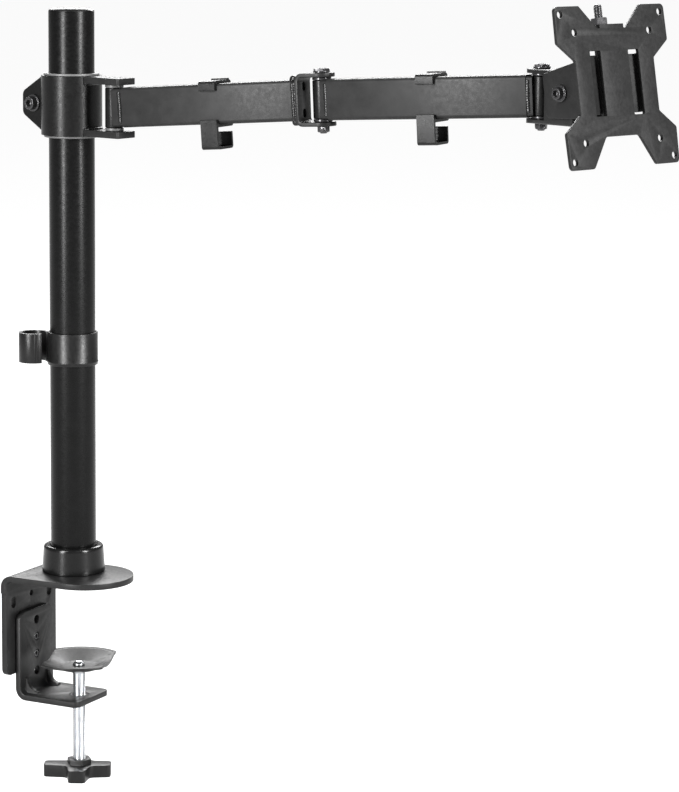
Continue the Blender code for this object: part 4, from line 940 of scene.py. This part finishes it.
def adapter():
    front, sheet = ADAPTER_FRONT, PLATE_SHEET
    top = TAB_TOP - sheet - GAP
    side = [(front, -24, 0), (front, top, 3), (TAB_BACK + 1.5, top, 0), (TAB_BACK + 1.5, top - sheet, 0)]
    side += [(front - sheet, top - sheet, 0.8), (front - sheet, -24, 0)]
    corner = [(-60, -60), (60, -60), (60, TAB_TOP - 12), (TAB_HALF, TAB_TOP - 9), (TAB_HALF, 60), (-TAB_HALF, 60)]
    corner += [(-TAB_HALF, TAB_TOP - 9), (-60, TAB_TOP - 12)]
    cuts = [rod(0, 0, 4.1, front - 6, front + 2, FACING), rod(LOCK_DEPTH, 0, 3.3, top - 8, top + 4)]
    cone = rod(0, 0, 3.9, front - sheet + 0.3, front + 0.7, FACING, far=7.4)
    changes = [("INTERSECT", prism(corner, -10, 60, FACING)), ("DIFFERENCE", merged(cuts)), ("DIFFERENCE", cone)]
    half = ADAPTER_HALF
    finished("adapter_plate_bent", prism(rounded(side), -half, half, UPRIGHT), TILT, COAT,
             ["rotation_adapter_plate"], changes=changes, bevel=0.35)


def rotation_hardware():
    front = ADAPTER_FRONT
    behind = BRACKET_FRONT - YOKE_SHEET - GAP
    bolt = [(0, front - 0.2, 0), (5.3, front - 0.2, 0.1), (5.3, front - 0.8, 0.1)]
    bolt += [(ROTATION_RADIUS, front - 2.2, 0), (ROTATION_RADIUS, behind - 5.6, 0.5), (0, behind - 5.6, 0)]
    socket = prism(hexagon(0, 0, 4.0), front - 2.4, front + 1, FORWARD)
    finished("rotation_bolt_countersunk", lathe(rounded(bolt, 4), 72, FORWARD), TILT, OXIDE, ["rotation_bolt"],
             changes=[("DIFFERENCE", socket)], bevel=0.12, segments=2)
    low, high = BRACKET_FRONT + GAP, front - PLATE_SHEET - GAP
    washer = ring(ROTATION_RADIUS + GAP, 9.6, low, high, 0.3, 72, FORWARD)
    finished("rotation_washer_disc", washer, TILT, NYLON, ["rotation_washer"])
    hex_nut("rotation_nut", 13.0, ROTATION_RADIUS + GAP, behind - 5.0, behind, TILT @ FORWARD)


def vesa_outline():
    """Right half from the tab's notch down to the lower edge, then the left half mirrored."""
    half = [
        (TAB_HALF, TAB_TOP, 0), (TAB_HALF, TAB_TOP - 2.8, 0), (TAB_HALF + 3.0, TAB_TOP - 2.8, 0), (31.0, 55.4, 1.5),
        (54.6, 55.4, 3.5), (55.2, 30.4, 2), (39.4, 18.5, 2), (39.4, -18.5, 2), (55.2, -30.4, 2), (54.6, -55.4, 3.5),
        (31.6, -55.4, 3), (17.0, -34.2, 3),
    ]
    return rounded(half + [(-x, y, r) for x, y, r in reversed(half)])


def vesa_plate():
    front, back = PLATE_FRONT, PLATE_FRONT - PLATE_SHEET
    cuts = []
    for reach in VESA_HOLES:
        for y in (-reach, reach):
            cuts += [rod(y, z, HOLE_RADIUS, back - 3, front + 3, FACING) for z in (-reach, reach)]
    for near, far in ((WINDOW_IN, WINDOW_OUT), (-WINDOW_OUT, -WINDOW_IN)):
        window = rectangle(near, WINDOW_LOW, far, WINDOW_HIGH, 0.8)
        cuts.append(prism(window, back - 1, front + 3, FACING))
    lip = back - 3.1
    rail = [
        (back + 1.2, 24.55), (back + 1.2, RAIL_OUT), (lip - RAIL_SHEET, RAIL_OUT), (lip - RAIL_SHEET, RAIL_IN),
        (lip, RAIL_IN), (lip, RAIL_OUT - RAIL_SHEET), (back - 0.2, RAIL_OUT - RAIL_SHEET), (back - 0.2, 24.55),
    ]
    rails = merged([prism([(x, side * y) for x, y in rail], RAIL_BOTTOM, RAIL_TOP) for side in (-1, 1)])
    tab = [(front - 1.0, TAB_TOP - 6, 0), (front - 1.0, TAB_TOP - 0.05, 2.4), (TAB_BACK, TAB_TOP - 0.05, 0)]
    tab += [(TAB_BACK, TAB_TOP - PLATE_SHEET, 0), (back + 0.1, TAB_TOP - PLATE_SHEET, 0.4)]
    tab.append((back + 0.1, TAB_TOP - 6, 0))
    half = TAB_HALF - 0.05
    changes = [
        ("DIFFERENCE", merged(cuts)),
        ("UNION", rails),
        ("UNION", prism(rounded(tab), -half, half, UPRIGHT)),
        ("DIFFERENCE", rod(LOCK_DEPTH, 0, 3.3, TAB_TOP - 6, TAB_TOP + 4)),
    ]
    finished("vesa_plate_pressed", prism(vesa_outline(), back, front, FACING), TILT, COAT, ["vesa_plate"],
             changes=changes, bevel=0.3)


def lock_hardware():
    under = TAB_TOP - 2 * PLATE_SHEET - 2 * GAP
    top = TAB_TOP + 15.0
    place = TILT @ Matrix.Translation((LOCK_DEPTH * MM, 0, 0))
    stem = [(0, top, 0), (2.4, top - 0.5, 1.0), (2.55, top - 2.0, 0.2), (2.55, under, 0), (5.0, under, 0.3)]
    stem += [(5.0, under - 3.0, 0.5), (0, under - 3.0, 0)]
    thread = thread_mesh(LOCK_RADIUS, TAB_TOP + 0.5, top - 1.2, pitch=1.0, depth=0.5, around=32, per_turn=8)
    finished("plate_lock_stud", lathe(rounded(stem, 4), 64), place, OXIDE, ["plate_lock_bolt"],
             changes=[("UNION", thread)], sharp=50)
    low = TAB_TOP + GAP
    hex_nut("plate_lock_nut", 10.0, LOCK_RADIUS + GAP, low, low + 5.0, place)


# ---------------------------------------------------------------- stage


def area_light(name, place, energy, width, height):
    """A soft panel that faces the object."""
    data = bpy.data.lights.new(name, "AREA")
    data.shape = "RECTANGLE"
    data.energy = energy
    data.size = width
    data.size_y = height
    light = bpy.data.objects.new(name, data)
    light.location = place
    light.rotation_euler = (Vector(LIT_POINT) - Vector(place)).to_track_quat("-Z", "Y").to_euler()
    bpy.context.scene.collection.objects.link(light)


def stage():
    """A pale floor that glows a little, so that it meets the pale background, with two tall lights and one behind."""
    bm = bmesh.new()
    bmesh.ops.create_circle(bm, cap_ends=True, segments=96, radius=FLOOR_RADIUS)
    mesh = as_mesh(bm, Matrix.Translation((0, 0, FLOOR_HEIGHT)))
    floor = bpy.data.objects.new("floor", mesh)
    bpy.context.scene.collection.objects.link(floor)
    pale = bpy.data.materials.new("pale_floor")
    pale.use_nodes = True
    shader = pale.node_tree.nodes["Principled BSDF"]
    shader.inputs["Base Color"].default_value = (0.2, 0.2, 0.2, 1)
    shader.inputs["Roughness"].default_value = 0.9
    shader.inputs["Emission Color"].default_value = (1, 1, 1, 1)
    shader.inputs["Emission Strength"].default_value = 0.86
    mesh.materials.append(pale)

    world = bpy.data.worlds.new("studio")
    bpy.context.scene.world = world
    world.use_nodes = True
    background = world.node_tree.nodes["Background"]
    background.inputs["Color"].default_value = (1, 1, 1, 1)
    background.inputs["Strength"].default_value = 0.35
    bpy.context.scene.view_settings.view_transform = "Standard"
    for name, (place, energy, width, height) in LIGHTS.items():
        area_light(name, place, energy, width, height)


def camera():
    """Looks down a little at the object, with the frame shifted so that the pole stays upright."""
    made = bpy.data.objects.new("camera", bpy.data.cameras.new("camera"))
    bpy.context.scene.collection.objects.link(made)
    bpy.context.scene.camera = made
    made.data.lens = CAMERA_LENS
    made.data.shift_y = CAMERA_SHIFT
    yaw, pitch, roll = radians(CAMERA_YAW), radians(CAMERA_PITCH), radians(CAMERA_ROLL)
    ahead = Vector((-sin(yaw) * cos(pitch), cos(yaw) * cos(pitch), -sin(pitch)))
    level = Vector((cos(yaw), sin(yaw), 0))
    upward = level.cross(ahead)
    right = level * cos(roll) + upward * sin(roll)
    up = -level * sin(roll) + upward * cos(roll)
    turn = Matrix((right, up, -ahead)).transposed().to_4x4()
    made.matrix_world = Matrix.Translation(CAMERA_AT) @ turn


for build in (upper_jaw, lower_jaw, jaw_bolts, clamp_screw, clamp_pad, knob, pole, foot_screws, pole_clip, collar,
              collar_bolt, arms, wrist_yoke, tilt_bracket, tilt_hardware, adapter, rotation_hardware, vesa_plate,
              lock_hardware, stage, camera):
    build()
